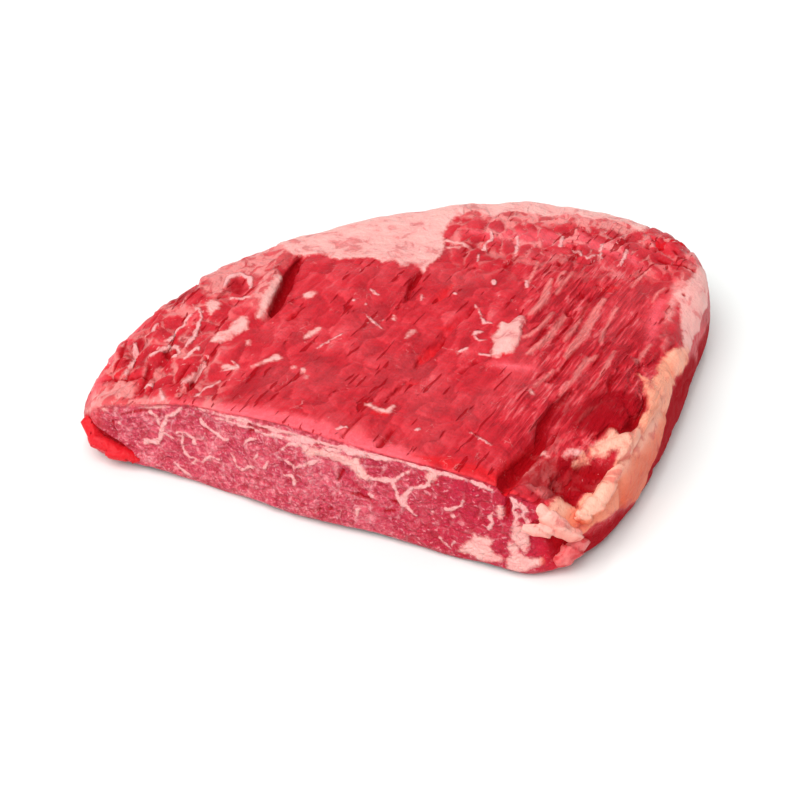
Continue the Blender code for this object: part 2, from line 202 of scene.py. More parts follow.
# Thin seams of connective tissue on the top.
TOP_SEAMS = {
    "hook beside the lump": (0.3, [
        (24, -5, 0.5), (22, -6, 0.6), (21.5, -8, 0.6), (23, -10, 0.6), (25.5, -9.5, 0.4),
    ]),
    "bar above it": (0.2, [(25, 0, 0.4), (27, 0, 0.4)]),
    "below the lump": (0.2, [(17, -16, 0.5), (19, -14.5, 0.5)]),
    "below the lump, second": (0.2, [(23, -17, 0.4), (26, -17.5, 0.4)]),
    "thin strand": (0.1, [(22.5, 11, 0.3), (25, 1, 0.3)]),
    "dots at the right": (0.1, [(29, 26.5, 0.5), (29, 24.5, 0.5)]),
    "long dot": (0.2, [(39.7, 26.5, 0.5), (39.7, 22.5, 0.5)]),
    "dot": (0.1, [(16, 18, 0.5)]),
    "strand in the middle": (0.1, [(-14, 7, 0.3), (-8, -2, 0.35)]),
    "second strand": (0.1, [(-12, 19, 0.3), (-9, 16, 0.3)]),
    "fine line": (0.1, [(-20.5, -6, 0.35), (-24, -9, 0.35), (-28, -14, 0.3)]),
    "fleck": (0.1, [(-7.5, 2.5, 0.5)]),
    "second fleck": (0.1, [(-17, 13, 0.5)]),
    "third fleck": (0.1, [(-13, 11, 0.5)]),
    "fourth fleck": (0.1, [(5, 17, 0.4), (5, 14, 0.4)]),
    "triangle line": (0.2, [(-55, -20, 0.35), (-52, -24, 0.4), (-58, -26, 0.35)]),
    "near the front": (0.2, [(-65, -38, 0.4), (-58, -31, 0.4)]),
    "ring by the front": (0.2, [(-21, -59, 0.4), (-19, -57, 0.5), (-17.5, -58.5, 0.4)]),
    "dot by the front": (0.1, [(3, -58.5, 0.8)]),
    "crack line before the corner": (0.2, [(19, -59, 0.3), (22, -63, 0.4), (25, -66, 0.3)]),
    "first lobe": (0.5, [(-87, -3, 0.6), (-86, -8, 0.7), (-88, -14, 0.6), (-89, -19, 0.5)]),
    "crest of the first lobe": (0.5, [(-80, 3, 0.6), (-83, -1, 0.7)]),
    "second lobe": (0.5, [(-77, -6, 0.6), (-74, -3, 0.7), (-71, 1, 0.7), (-69, 4, 0.5)]),
    "loop of the second lobe": (0.5, [
        (-81, -13, 0.6), (-78, -10, 0.8), (-76, -8, 0.7), (-74, -9, 0.7), (-72, -12, 0.7), (-73, -16, 0.5),
    ]),
    "third lobe": (0.5, [
        (-70, -12, 0.5), (-68, -8, 0.7), (-67, -3, 0.7), (-66, 3, 0.7), (-67, 8, 0.6), (-69, 11, 0.5),
    ]),
    "patch on the third lobe": (0.4, [(-70, -18, 0.7), (-68, -15, 1.1), (-66, -13, 0.7)]),
    "lip of the third crease": (0.6, [(-69, -30, 0.6), (-66, -26, 0.8), (-64, -22, 0.8), (-63, -19, 0.5)]),
    "by the front at the tip": (0.3, [(-76, -31, 0.5), (-75, -36, 0.6)]),
    "patch by the front": (0.3, [(-81, -27, 0.9), (-79, -27, 0.9)]),
    "vertical at the back": (0.3, [(29, 60, 0.5), (29.5, 55, 0.6), (27, 50, 0.5), (26, 47, 0.4)]),
    "second vertical": (0.3, [(38, 57, 0.4), (38, 52, 0.5), (37, 45.5, 0.4)]),
    "third vertical": (0.2, [(24.5, 44, 0.4), (24, 39, 0.4)]),
    "fourth vertical": (0.2, [(54, 60, 0.5), (53, 56, 0.5), (52.5, 51, 0.4)]),
    "fifth vertical": (0.3, [(70, 57, 0.5), (67, 55, 0.6), (66, 50, 0.6), (66, 44, 0.4)]),
    "sixth vertical": (0.2, [(75, 50, 0.5), (74, 46, 0.4), (72, 41, 0.4)]),
    "rim of the oval": (0.5, [
        (-60, 21, 0.4), (-59, 27, 0.7), (-55, 30.5, 0.8), (-51.5, 27, 0.9), (-51, 21, 0.5),
    ]),
    "rim of the oval, below": (0.4, [(-51.5, 16, 0.4), (-54, 14, 0.7), (-57, 15, 0.4)]),
    "bar at the back": (0.2, [(57, 50, 0.4), (59, 46, 0.5), (61, 44, 0.5), (65, 47.5, 0.4)]),
}

# Thin, partly see-through membrane over the lean.
TOP_FILM = {
    "beside the slit": (0.3, [
        (-44, 9), (-42, 20), (-40, 28), (-44, 32), (-47, 28), (-49, 22), (-51, 14), (-50, 9), (-48, 5),
        (-46, 2),
    ]),
    "left of the fat": (0.3, [
        (-38, 44), (-40, 36), (-44, 33), (-48, 30), (-51, 24), (-52.5, 30), (-56, 31), (-59.5, 26),
        (-58, 19), (-62, 15), (-66, 18), (-65, 26), (-68, 32), (-76, 30), (-88, 16), (-80, 40), (-60, 64),
        (-42, 56),
    ]),
    "pad of the tip": (0.3, [
        (-99, -20), (-95, -18.5), (-90, -20), (-85, -22), (-84, -27), (-85, -31), (-90, -34), (-98, -32),
        (-103, -24),
    ]),
    "floor of the pit": (0.3, [
        (34, -70), (38, -67.5), (43, -69), (46, -71), (47, -75), (44, -80), (39, -83), (36, -80), (35, -75),
    ]),
    "back rim": (0.2, [(15, 72), (40, 66), (60, 68), (78, 64), (84, 70), (70, 76), (40, 76), (20, 77)]),
    "right side": (0.2, [
        (86, 10), (90, 22), (95, 34), (97, 46), (94, 44), (90, 32), (87, 24), (84, 12), (82, -6),
    ]),
}

# Pale ridges of the coarse grain at the right.
TOP_RIDGES = {
    "brightest": (0.7, [(48, 28, 0.6), (46.5, 22, 1.2), (44.5, 14, 1.3), (42, 9, 1.2), (39.5, 5, 0.8)]),
    "short": (0.4, [(53, 34, 0.4), (51, 30, 0.6), (50, 25, 0.4)]),
    "second short": (0.4, [(55.5, 34, 0.4), (53, 29, 0.6), (49, 20, 0.5)]),
    "thin": (0.3, [(44, 40, 0.4), (43, 34, 0.5), (41, 28, 0.5), (39.5, 22.5, 0.4)]),
    "below the lump": (0.5, [
        (47.5, 9, 0.6), (45, 3, 0.8), (42.5, -2, 0.8), (39, -7, 0.8), (36.5, -8.5, 0.5),
    ]),
    "long": (0.6, [(51.5, 9, 0.7), (49, 3, 1), (45.5, -6, 1.1), (42, -12, 1), (38, -18, 0.6)]),
    "narrow": (0.4, [(60, 18, 0.4), (57.5, 11, 0.5), (55.5, 4, 0.5), (53, -3, 0.5), (50, -9, 0.4)]),
    "wide": (0.6, [
        (65, 19, 0.8), (62, 13, 1.3), (59, 4, 1.5), (56, -5, 1.5), (52, -13, 1.2), (50, -17, 0.7),
    ]),
    "beside the wide one": (0.4, [(69, 15, 0.5), (66, 8, 0.6), (63, -1, 0.6), (62, -7, 0.5)]),
    "front": (0.5, [
        (60, -15, 0.6), (57, -18, 1), (54, -24, 0.9), (52, -29, 0.7), (49, -34, 0.6), (47, -38, 0.4),
    ]),
    "far right": (0.4, [(82, 39, 0.4), (79, 35, 0.6), (76, 30, 0.6), (74.5, 27, 0.4)]),
    "rightmost": (0.4, [(86, 28, 0.4), (83, 24, 0.6), (81, 19, 0.4)]),
    "on the red face": (0.3, [(60, -40, 0.4), (56, -44, 0.5), (52.5, -50, 0.5), (51, -52, 0.4)]),
    "front, second": (0.4, [(66, -12, 0.5), (63, -20, 0.7), (60, -27, 0.6), (57, -33, 0.4)]),
    "front, third": (0.4, [(46, -24, 0.4), (42, -31, 0.6), (39, -36, 0.4)]),
    "right edge": (0.4, [(78, -6, 0.5), (75, -12, 0.7), (72, -18, 0.5)]),
}

# Cracks and torn places, where the surface drops, painted dark crimson: the lean's own red with painted shade
# in their depths.
TOP_CRACK_SHADE = {
    "slit": (-1.2, [
        (-35, 43, 0.5), (-37, 37, 0.9), (-38.5, 31, 1.4), (-40, 22, 2), (-42, 15, 1.6), (-43.5, 8, 0.6),
    ]),
    "notch": (-1.2, [(5.5, 33, 0.5), (3.5, 28, 0.6), (2, 24.5, 0.7), (1, 20, 0.5), (0.5, 15, 0.3)]),
    "middle": (-0.9, [(22, 10, 0.3), (20.5, 7, 0.6), (19.5, 4, 0.3)]),
    "middle, second": (-0.9, [(12.5, -5, 0.3), (11.5, -9, 0.7), (10, -13, 0.3)]),
    "middle, third": (-0.8, [(4, -20, 0.4), (3, -24, 0.3)]),
    "middle, fourth": (-0.9, [(0, -32, 0.3), (-4, -38, 0.6), (-7, -42, 0.3)]),
    "front": (-1, [(-13, -50, 0.3), (-16, -56, 0.5), (-19, -63, 0.4)]),
    "wedge at the front": (-1.3, [(-4, -58, 0.4), (-8, -66, 1)]),
    "beside the lump": (-0.6, [(22, -21, 0.5), (19.5, -24.5, 0.3), (17, -28, 0.5)]),
    "left": (-0.8, [(-32, -28, 0.3), (-35, -32, 0.5), (-40, -39, 0.3)]),
    "left, upper": (-0.9, [(-33, 11, 0.3), (-36, 5, 0.6), (-38, 2, 0.4)]),
    "hollow in the second lobe": (-1.2, [(-76, -10, 0.9), (-73, -14, 0.9)]),
    "first crease": (-1.1, [(-81, -16, 0.5), (-82, -24, 0.8), (-84, -29, 0.4)]),
    "second crease": (-1.1, [(-68, -20, 0.5), (-70, -26, 0.8), (-73, -30, 0.4)]),
    "third crease": (-1.2, [(-63, -18, 0.5), (-66, -27, 0.7), (-67, -34, 0.4)]),
    "fold over the pad": (-0.9, [(-96, -16, 0.4), (-91, -19, 0.6), (-84, -21, 0.6), (-80, -21, 0.4)]),
    "behind the first lobe": (-0.8, [(-90, 0, 0.4), (-91, -8, 0.8), (-93, -14, 0.5)]),
    "before the corner": (-1.4, [
        (52, -34, 0.4), (46, -42, 0.7), (43, -48, 0.9), (41, -52, 1.2), (40, -60, 1.4), (36, -65, 1.4),
        (32, -72, 1.7), (28, -80, 1.5), (27, -86, 1),
    ]),
    "stripe by the corner": (-1.4, [(56, -36, 0.3), (50, -46, 0.9), (45, -54, 1), (43, -60, 0.6)]),
    "second stripe": (-1.1, [(60, -30, 0.4), (55, -38, 0.8), (49, -48, 0.5)]),
    "third stripe": (-0.7, [(64.5, -25, 0.5), (63, -30, 0.7), (62.5, -35, 0.4)]),
    "fourth stripe": (-0.7, [(74, -17, 0.4), (72, -24, 0.5), (70, -29, 0.4)]),
    "inside the strip": (-1.2, [
        (74, -34, 0.6), (73, -38, 1), (72, -42, 0.9), (70, -45, 0.9), (68, -49, 1.2), (66, -52.5, 0.9),
        (62, -51.5, 0.6), (59, -55, 0.5), (56, -57, 0.4),
    ]),
    "pit, far side": (-1, [(51, -67, 0.5), (56, -66.6, 0.9), (62, -66.6, 0.6)]),
    "pit, floor": (-1.2, [(43, -72, 0.5), (47, -75, 1.3), (51, -79, 0.8)]),
    "pit, right": (-1, [(51, -70, 0.6), (55, -72, 1.2), (57, -74, 0.6)]),
    "coarse grain": (-0.8, [(61, 21, 0.4), (58.8, 15, 0.7), (56.5, 8, 0.6), (54, 4, 0.4)]),
    "coarse grain, second": (-0.7, [(55.5, 12, 0.4), (52.5, 4, 0.5), (49.5, -3, 0.5), (46, -10, 0.3)]),
    "coarse grain, third": (-0.7, [(46, 2, 0.3), (41.5, -9, 0.5), (38.5, -13, 0.3)]),
    "coarse grain, fourth": (-0.7, [(54, -12, 0.4), (49, -22, 0.6), (44, -31, 0.4)]),
    "coarse grain, fifth": (-0.6, [(64, -8, 0.3), (60, -17, 0.5), (57, -24, 0.3)]),
    "spot": (-0.7, [(58, 24, 0.5), (57.8, 21, 0.5)]),
    "second spot": (-0.6, [(63.5, 28, 0.7)]),
    "third spot": (-0.6, [(53, 12, 0.5), (53, 10, 0.5)]),
    "fourth spot": (-0.7, [(51.5, 40, 0.8), (51.5, 38, 0.8)]),
    "fifth spot": (-0.7, [(57.5, 52, 0.6), (57, 48, 0.6)]),
    "sixth spot": (-0.6, [(47.5, 49, 0.7)]),
    "seventh spot": (-0.5, [(43, 42, 0.7)]),
    "eighth spot": (-0.6, [(22.5, 35, 0.9)]),
    "ninth spot": (-0.5, [(37.5, 43.5, 0.5), (35.3, 39.5, 0.5), (33, 36, 0.8)]),
    "tenth spot": (-0.6, [(59, 67, 0.9)]),
    "tear at the back": (-0.9, [(82.5, 56, 0.7), (82.5, 53, 0.7)]),
    "second tear": (-0.9, [(85.5, 52, 0.8), (88, 52, 0.8)]),
    "third tear": (-0.8, [(92, 54, 0.8), (92.5, 52, 0.6)]),
    "fourth tear": (-0.8, [(86, 46, 0.9), (90, 43, 0.8), (97, 42.5, 0.7)]),
    "fifth tear": (-0.6, [(92, 25.5, 0.8)]),
}

# Places that are fresh, saturated red.
TOP_RED = {
    "rim at the front": (0, [(2, -71, 0.5), (9, -73.5, 1.8), (20, -78.5, 2.6), (27, -82, 2.4)]),
    "crevice_shade": (0, [(29, -87, 1.6), (28, -80, 2.6), (31, -73, 2.4), (36, -65, 1.8), (40, -58, 1.2)]),
    "second notch": (-0.5, [(15.5, 24, 0.5), (12.5, 19, 1), (10.5, 15, 1), (9, 12.5, 0.5)]),
    "middle": (-0.4, [(11, -11, 0.8), (8, -14, 1.5), (6, -18, 1.2), (4, -21, 0.5)]),
    "line": (-0.3, [(15, -1, 0.4), (10.5, -2.5, 0.5)]),
    "small spot": (-0.3, [(2.5, -33, 0.9), (1, -33, 0.5)]),
    "under the hook": (-0.4, [(-10, -50, 1), (-7, -50.5, 1)]),
    "left": (-0.3, [(-37, 3, 1.2), (-36, 6, 0.6)]),
    "foot of the lump": (-0.2, [(29.5, -17.5, 1.2), (31, -18, 0.8)]),
    "at the right": (-0.2, [(66, 25, 1.5), (70, 27, 1)]),
    "tip": (0, [(-97, -7, 1), (-94, -12, 1.8), (-92, -16, 1.2)]),
    "tip, outer": (0, [(-100, -8, 0.8), (-99, -14, 1)]),
    "inside the strip": (0, [(73.5, -36, 0.8), (72.5, -41, 1), (70.5, -45, 0.8)]),
}

# Places that are a paler, brighter red. Along the rim of the cut, where the lean thins out, it is a painted
# glow of light through the thin lean.
TOP_BLUSH = {
    "rim of the cut": (0, [
        (-84, -33, 0.6), (-72, -38, 1.4), (-60, -43.5, 2), (-45, -51, 2.6), (-30, -58, 3), (-15, -64.5, 3),
        (-4, -69, 2.6), (5, -73, 1.2),
    ]),
    "tip": (0, [(-99, -24, 1), (-97, -12, 3), (-92, -2, 3), (-86, 8, 2)]),
    "before the strip": (0, [(84, 20, 1), (80, 8, 2.2), (78, -4, 1.2)]),
    "back": (0, [(24, 60, 2), (40, 56, 5), (58, 58, 4), (72, 50, 3), (80, 40, 1)]),
    "foot of the lump": (0, [(28, -23, 0.8), (34, -25, 1.4), (41, -25, 0.8)]),
}

# Painted shade in deep places: the hollow, the pit and the face beside it, the slit and the oval, darker and
# more saturated than the lean round them.
TOP_PAINTED_SHADE = {
    "hollow before the corner": (0, [
        (44, -50), (43, -58), (41, -63), (38, -67), (35, -71), (32, -76), (30, -82), (28, -88), (25, -86),
        (27, -78), (30, -71), (34, -65), (38, -58), (41, -51), (46, -44), (50, -38), (52, -40),
    ]),
    "pit": (0, [
        (44, -66), (53, -64), (62, -63.5), (60, -69), (55, -72), (50, -78), (45, -82), (37, -82), (34, -75),
        (37, -69),
    ]),
    "red face": (0, [(54, -40), (62, -33), (72, -36), (70, -45), (66, -52), (58, -55), (50, -56), (50, -48)]),
    "oval": (-0.8, [(-57, 19), (-57.5, 24), (-56, 27.5), (-53.5, 26.5), (-53.2, 21.5), (-54.5, 18)]),
    "slit": (0, [(-37, 40, 1), (-38.5, 31, 2.2), (-40, 22, 3), (-42.5, 12, 2)]),
}
# Painted shade on the right side of the wall, which the key light hardly reaches, and low along its foot.
WALL_PAINTED_SHADE = {
    "right side, low": (0, [
        (236, -2), (244, 5), (258, 8), (275, 10), (292, 12), (306, 14), (320, 16), (320, -2),
    ]),
    "right side": (0, [
        (316, -2), (320, 10), (328, 18), (340, 21.5), (352, 21.5), (362, 20), (368, 17), (377, 11.5),
        (384, 7), (390, 3.5), (398, 5.5), (408, 9.5), (420, 11), (427, 12), (434, 16), (440, 17), (437, 6),
        (430, 3), (424, -2),
    ]),
}

# Marks on the wall: (distance along the outline, height). The knife cut runs from 437 to 598.
WALL_FAT = {
    "back": (0.3, [
        (88, 40), (92, 27), (100, 22), (108, 24), (116, 18), (123, 20), (131, 14), (140, 17), (149, 12),
        (158, 16), (166, 15), (173, 20), (182, 22), (190, 19), (198, 22), (208, 20), (219, 24), (229, 23),
        (238, 27), (246, 28), (250, 40),
    ]),
    "right rim": (0.3, [
        (283, 40), (287, 27), (293, 24), (300, 20), (307, 23), (314, 19), (321, 22), (328, 20), (334, 23),
        (340, 25), (342, 40),
    ]),
    "thick seam, core": (0.3, [
        (496, 24.6, 1.1), (500, 27.2, 1.6), (505, 28.4, 1.5), (511, 28.6, 1.4), (514.5, 27.6, 1),
    ]),
    "thick seam": (0.3, [
        (495, 23.2), (497.2, 23), (498.7, 24.5), (500.2, 26), (502.7, 26), (504.5, 27.2), (505.7, 28),
        (509.7, 28.2), (511.7, 27.2), (513.2, 25.7), (514.2, 25.5), (514.7, 27), (514.5, 28.5), (512.2, 29),
        (509.2, 29.3), (505.2, 28.8), (502.2, 29.1), (497.7, 29.5), (497, 28.2), (496.5, 27), (494.2, 24.5),
    ]),
    "patch at the right": (0.2, [
        (454.2, 12.7), (460.2, 12.5), (460.7, 10.2), (462.2, 9), (463.7, 7.5), (465.2, 4.5), (463.7, 4),
        (461.2, 4.5), (459.7, 4), (457.7, 3), (455.7, 3.5), (453.2, 4), (451, 5), (451.5, 6.5), (454, 7.5),
        (455, 9.5),
    ]),
    "patch beside it": (0.2, [
        (447.2, 12), (449.7, 12.5), (449.7, 10), (448.7, 8), (449.7, 5), (449.5, 2), (446.7, 1.5),
        (444.2, 3), (441.7, 5), (438.7, 6), (439.2, 7.5), (442.7, 8), (444.7, 8.5), (446.2, 9.5),
    ]),
    "knot": (0.2, [(474, 29.8, 1.5), (474.6, 29, 1.4)]),
    "pillar by the corner": (0.4, [(444.3, 18), (448.3, 21.5), (448.6, 14), (444.3, 9), (443.4, 13)]),
    "right of the crevice": (0.2, [(452.3, 24.5, 1), (452.5, 21.5, 0.8)]),
    "rim at the left": (0, [(565, 27.6, 0.5), (568, 27, 1.2), (572, 26.6, 1), (578, 25.2, 0.6)]),
    "under the tip": (0, [(586, 21, 0.5), (591, 19.7, 0.8), (595, 18.4, 0.8), (600, 16, 0.5)]),
}
WALL_SEAMS = {
    "node": (0.2, [(480.2, 23.6, 0.7), (482.2, 20.5, 0.8), (483.5, 18, 1.2), (483.4, 16.5, 0.9)]),
    "up from the node": (0.2, [
        (474.6, 28.5, 0.7), (475.2, 26, 0.5), (476.3, 25.2, 0.4), (478.8, 24, 0.4), (480.2, 23.5, 0.6),
    ]),
    "rim from the knot": (0.1, [(465.5, 31.5, 0.5), (470, 31.2, 0.6), (474, 30.4, 0.7)]),
    "down from the node": (0.2, [
        (483.3, 16.5, 0.7), (481.3, 15.5, 0.5), (479.8, 13.5, 0.5), (477.3, 12.5, 0.4),
    ]),
    "right from the node": (0.2, [(484.2, 17.5, 0.5), (485.5, 20.8, 0.6), (486.5, 23, 0.8)]),
    "to the thick seam": (0.2, [
        (483.2, 27.6, 0.4), (484.7, 26, 0.6), (486.5, 24.3, 0.9), (489.7, 23.8, 0.9), (492.2, 23.3, 0.7),
        (494, 23.2, 0.9), (495.8, 24.4, 1), (497.2, 26, 1),
    ]),
    "drip": (0.1, [(493.8, 22.8, 0.4), (494, 21, 0.3)]),
    "below the thick seam": (0.2, [(511, 24.8, 0.5), (513, 23.6, 0.7), (514.6, 22.8, 0.4)]),
    "thick seam to the rim": (0.2, [
        (514.5, 28.7, 0.9), (516.8, 29.3, 0.9), (519.5, 28.6, 0.7), (520.8, 27.8, 0.5), (521.8, 26.4, 0.4),
        (522.8, 25.2, 0.4),
    ]),
    "upper seam": (0.2, [(510, 31.4, 0.4), (515.2, 31.1, 0.6), (521.2, 30.3, 0.5), (526.2, 30, 0.4)]),
    "faint run": (0.1, [
        (514.8, 22.5, 0.4), (517.2, 21, 0.4), (519.2, 20.3, 0.4), (520.8, 21.5, 0.4), (523.8, 22, 0.3),
    ]),
    "hook": (0.1, [
        (518.8, 13.8, 0.4), (518.8, 15.5, 0.4), (519.6, 16.5, 0.5), (520.8, 16.6, 0.4), (523.2, 15.7, 0.3),
    ]),
    "faint line": (0.1, [(527.8, 19.5, 0.4), (529.2, 16.5, 0.3)]),
    "second faint line": (0.1, [(531.2, 21, 0.4), (532.8, 18.5, 0.3)]),
    "arc": (0.2, [
        (533, 15.5, 0.4), (535.2, 14.5, 0.4), (536.3, 13.3, 0.5), (537.6, 12.8, 0.5), (539, 13.5, 0.5),
        (539.8, 15.3, 0.4), (541.2, 17.5, 0.4),
    ]),
    "under the dark hole": (0.2, [(531.8, 26.6, 0.5), (534.8, 24.8, 0.5), (536.5, 22.3, 0.4)]),
    "right of the node": (0.1, [(480.8, 30, 0.4), (481.8, 28.5, 0.5)]),
    "low streak": (0.2, [(468, 4.5, 0.4), (471.2, 7.5, 0.5)]),
    "second low streak": (0.1, [(466.5, 7.8, 0.4), (467.3, 6, 0.4)]),
    "run at the right": (0.1, [(463.8, 23.8, 0.4), (464.8, 21.5, 0.4), (467.2, 20, 0.4), (469.2, 19, 0.3)]),
    "speck": (0.1, [(466.8, 17, 0.6)]),
    # The pale lines along the top edge of the cut are seam tissue and a painted highlight on the wet, rounded
    # rim.
    "rim": (0.1, [
        (455, 30.2, 0.5), (459, 31, 0.9), (463, 31.2, 0.4), (468, 31.5, 1), (473, 31.8, 0.5),
        (479, 31.6, 0.9), (485, 31.9, 0.4), (490, 31.6, 1), (496, 31.8, 0.5), (501, 31.5, 1.1),
        (507, 31.9, 0.5), (513, 31.8, 0.9), (519, 32, 0.5), (526, 31.6, 1), (532, 31.5, 0.4),
        (538, 31.2, 0.8), (544, 31, 0.4), (550, 30.6, 0.8), (558, 29.6, 0.5), (567, 28.2, 0.8),
        (576, 26, 0.6), (583, 24, 0.5),
    ]),
    "under the rim": (0.1, [
        (492, 30.6, 0.3), (499, 30.8, 0.5), (507, 30.4, 0.4), (518, 30, 0.4), (528, 29.2, 0.5),
        (538, 29.4, 0.4), (546, 29, 0.3),
    ]),
    "second speck": (0.1, [(473.8, 16.5, 0.6)]),
    "mottle by the crevice": (0.1, [
        (449.2, 28.5, 0.5), (447.6, 26.8, 1), (448.8, 24.6, 0.3), (447, 22.4, 0.9), (448.4, 20, 0.3),
        (446.8, 18, 0.8), (447.6, 15.5, 0.4),
    ]),
    "mottle beyond it": (0.1, [(446.2, 27.5, 0.3), (444.8, 25.2, 0.8), (445.9, 23, 0.3), (444.2, 21, 0.7)]),
    "mottle before it": (0.1, [
        (454.6, 22.5, 0.3), (455.4, 20.4, 0.7), (454.2, 18.6, 0.3), (455.8, 16.2, 0.7),
    ]),
    "pale streak": (0.1, [(497.8, 10.5, 0.5), (498.2, 8, 0.5)]),
    "pale blob": (0.1, [(493.5, 16.8, 0.8)]),
    "main band": (0.2, [
        (558.5, 29.5, 0.4), (561.2, 25.6, 0.5), (563.7, 24.2, 0.6), (565.2, 21, 0.6), (566.2, 18, 0.8),
        (566.8, 15, 0.8), (568, 13.1, 1.2), (572.2, 12.3, 0.8),
    ]),
    "branch up": (0.2, [(567, 20.5, 0.4), (567.6, 23, 0.6), (569.8, 24.1, 0.5)]),
    "branch left": (0.1, [(566, 17.5, 0.5), (564.2, 16.8, 0.4), (562.2, 16.3, 0.3)]),
    "loop": (0.2, [
        (554.5, 16.5, 0.7), (555.2, 18.5, 0.5), (557.2, 19.5, 0.5), (558.8, 19.7, 0.5), (560.7, 19, 0.4),
    ]),
    "loop, down": (0.2, [
        (558.7, 19, 0.4), (559.2, 15.5, 0.6), (558.7, 12.5, 0.5), (557.2, 11, 0.4), (555.2, 10.8, 0.4),
        (553.7, 10.5, 0.4), (551.7, 10.5, 0.5), (550.7, 12, 0.5), (549.2, 13.5, 0.5), (546, 13.8, 0.5),
    ]),
    "loop, tail": (0.1, [(554.5, 10.5, 0.4), (555.8, 8.5, 0.4)]),
    "low streak at the left": (0.2, [(557, 3.5, 0.5), (560.2, 5.5, 0.5), (562.2, 7, 0.4)]),
    "knot at the left": (0.2, [
        (552, 26, 0.6), (551.4, 25, 1.1), (549.2, 24, 0.6), (547.2, 23.2, 0.5), (542.3, 22, 0.5),
    ]),
    "under the knot": (0.1, [(550.8, 21.5, 0.4), (551.8, 19, 0.3)]),
    "spot at the left": (0.1, [(581, 17.2, 0.7)]),
}
# Cracks on the wall with painted shade in them; under the petals and behind the lip it is painted shadow.
WALL_CRACK_SHADE = {
    "crevice by the corner": (-1.2, [(450.4, 28, 0.5), (450.2, 24, 0.9), (450.2, 21, 0.5)]),
    "dark hole": (-1, [(533.5, 28.8, 0.9), (534.2, 27.9, 0.7)]),
    "fold under the rim": (-0.5, [
        (498, 31.6, 0.3), (506, 31.2, 0.4), (516, 31.8, 0.3), (528, 31, 0.4), (536, 30.6, 0.3),
    ]),
    "slit": (-0.6, [(502.7, 23.5, 0.5), (504.3, 19.5, 0.4)]),
    "spot": (-0.5, [(506.7, 8.2, 0.5)]),
    "second spot": (-0.5, [(510.2, 7, 0.5), (511, 6.3, 0.4)]),
    "by the node": (-0.4, [(485, 17, 0.5), (487, 16.5, 0.4)]),
    "below the node": (-0.4, [(486, 13.4, 0.5), (488.8, 12.5, 0.6)]),
    "in the coarse part": (-0.5, [(494, 15.4, 0.4), (497, 16.1, 0.6), (500, 15.8, 0.4)]),
    "split at the left": (-0.5, [(569.2, 25, 0.3), (573.2, 24, 0.5), (576.5, 22.6, 0.4), (580.5, 20.5, 0.3)]),
    "slit at the left": (-0.6, [(583.5, 17, 0.4), (583, 13, 0.4)]),
    "behind the lip": (-1.5, [(578, 6, 0.8), (584, 8, 1.6), (590, 10, 2), (595, 13, 1.4)]),
    "under the petals": (-1, [(426, 11.5), (434.2, 16), (438.7, 16), (435.2, 10), (430.7, 10), (426, 9)]),
}
WALL_RED = {
    "wedge by the corner": (-0.8, [
        (440.2, 17), (443.7, 18.5), (443.2, 14), (442.2, 10), (439.2, 6), (436.7, 5.5), (438.7, 11),
    ]),
    "crevice by the corner": (0, [(451, 31, 1), (450.5, 26, 1.2), (450.2, 22, 0.8)]),
    "coarse part": (0, [(491.5, 13.4, 1), (503, 23, 0.8)]),
    "beside the arc": (0, [(532.7, 15.8, 0.8), (533.2, 19, 0.6)]),
}
# The fat strip where it runs down the wall, from the right side to the corner.
WALL_PEACH = {
    "strip": (0.4, [
        (334, 20), (340, 22), (345, 22.5), (355, 22), (362, 20.5), (367, 17.5), (371, 15), (376.4, 12),
        (382, 9.5), (385.6, 6), (390, 4.5), (395, 5.5), (399, 7), (405.6, 10), (410, 12), (416, 12.5),
        (421, 14), (427, 12.5), (432, 15), (438, 18), (440, 36), (330, 36),
    ]),
}

# Closed pieces that stand out of the wall: points of the line with the half thickness into the wall
# and the half height.
ROLLS = {
    "red lip under the tip": [
        (-100, -19, 15, 1, 1), (-100.8, -23.4, 11.4, 2, 2), (-98.2, -27.8, 7.6, 2.6, 2.5),
        (-93.2, -30.4, 5.6, 2.9, 2.5), (-88, -32.4, 5, 2.7, 2.2), (-83.5, -34, 4.8, 1.3, 1.2),
    ],
    "curled end of the strip": [
        (64, -63, 23.3, 2, 2), (60.5, -70, 22, 2.7, 2.6), (56.5, -76, 19.4, 2.8, 2.8),
        (52.5, -80.6, 18.2, 2.3, 2.6), (49.6, -83, 19.6, 1.4, 1.8),
    ],
    "pale tongue": [
        (37.8, -85.8, 25.6, 1.4, 1.6), (40.6, -87, 22.8, 2, 2.6), (44.4, -86.8, 18.6, 2.2, 3),
        (48.2, -85.2, 14.8, 2, 2.6), (51.4, -82.8, 12.4, 1.4, 1.6),
    ],
    "pink tongue": [
        (46, -85, 17.2, 1.2, 1.6), (41.4, -88, 18.6, 1.8, 2.2), (37, -88.8, 19.4, 1.6, 2.2),
        (33.6, -88, 19.4, 1, 1.2),
    ],
    "lobe under the tongues": [
        (54, -77, 9.5, 2, 2.4), (50.4, -81.6, 8.6, 3.4, 3.4), (46.6, -84.8, 6.8, 3.2, 3.6),
        (43.6, -86.2, 5.4, 2, 2.4),
    ],
    "flap at the back": [(84, 56, 27.5, 2, 1.2), (90, 60, 26.5, 4, 2), (96.5, 61, 24, 1.8, 1.2)],
}
# What each of them is made of: how far inside the marks of each kind it lies, and how peach its fat is.
ROLL_KINDS = {
    "red lip under the tip": {"fresh": 0.6, "shade": -2.0},
    "curled end of the strip": {"fat": 1.2, "peach": 1.0},
    "pale tongue": {"fat": 1.2, "peach": 0.45},
    "pink tongue": {"fat": 1.0, "peach": 0.35},
    "lobe under the tongues": {"fresh": -0.2, "film": 0.2},
    "flap at the back": {"fresh": 0.3, "shade": 0.2},
}

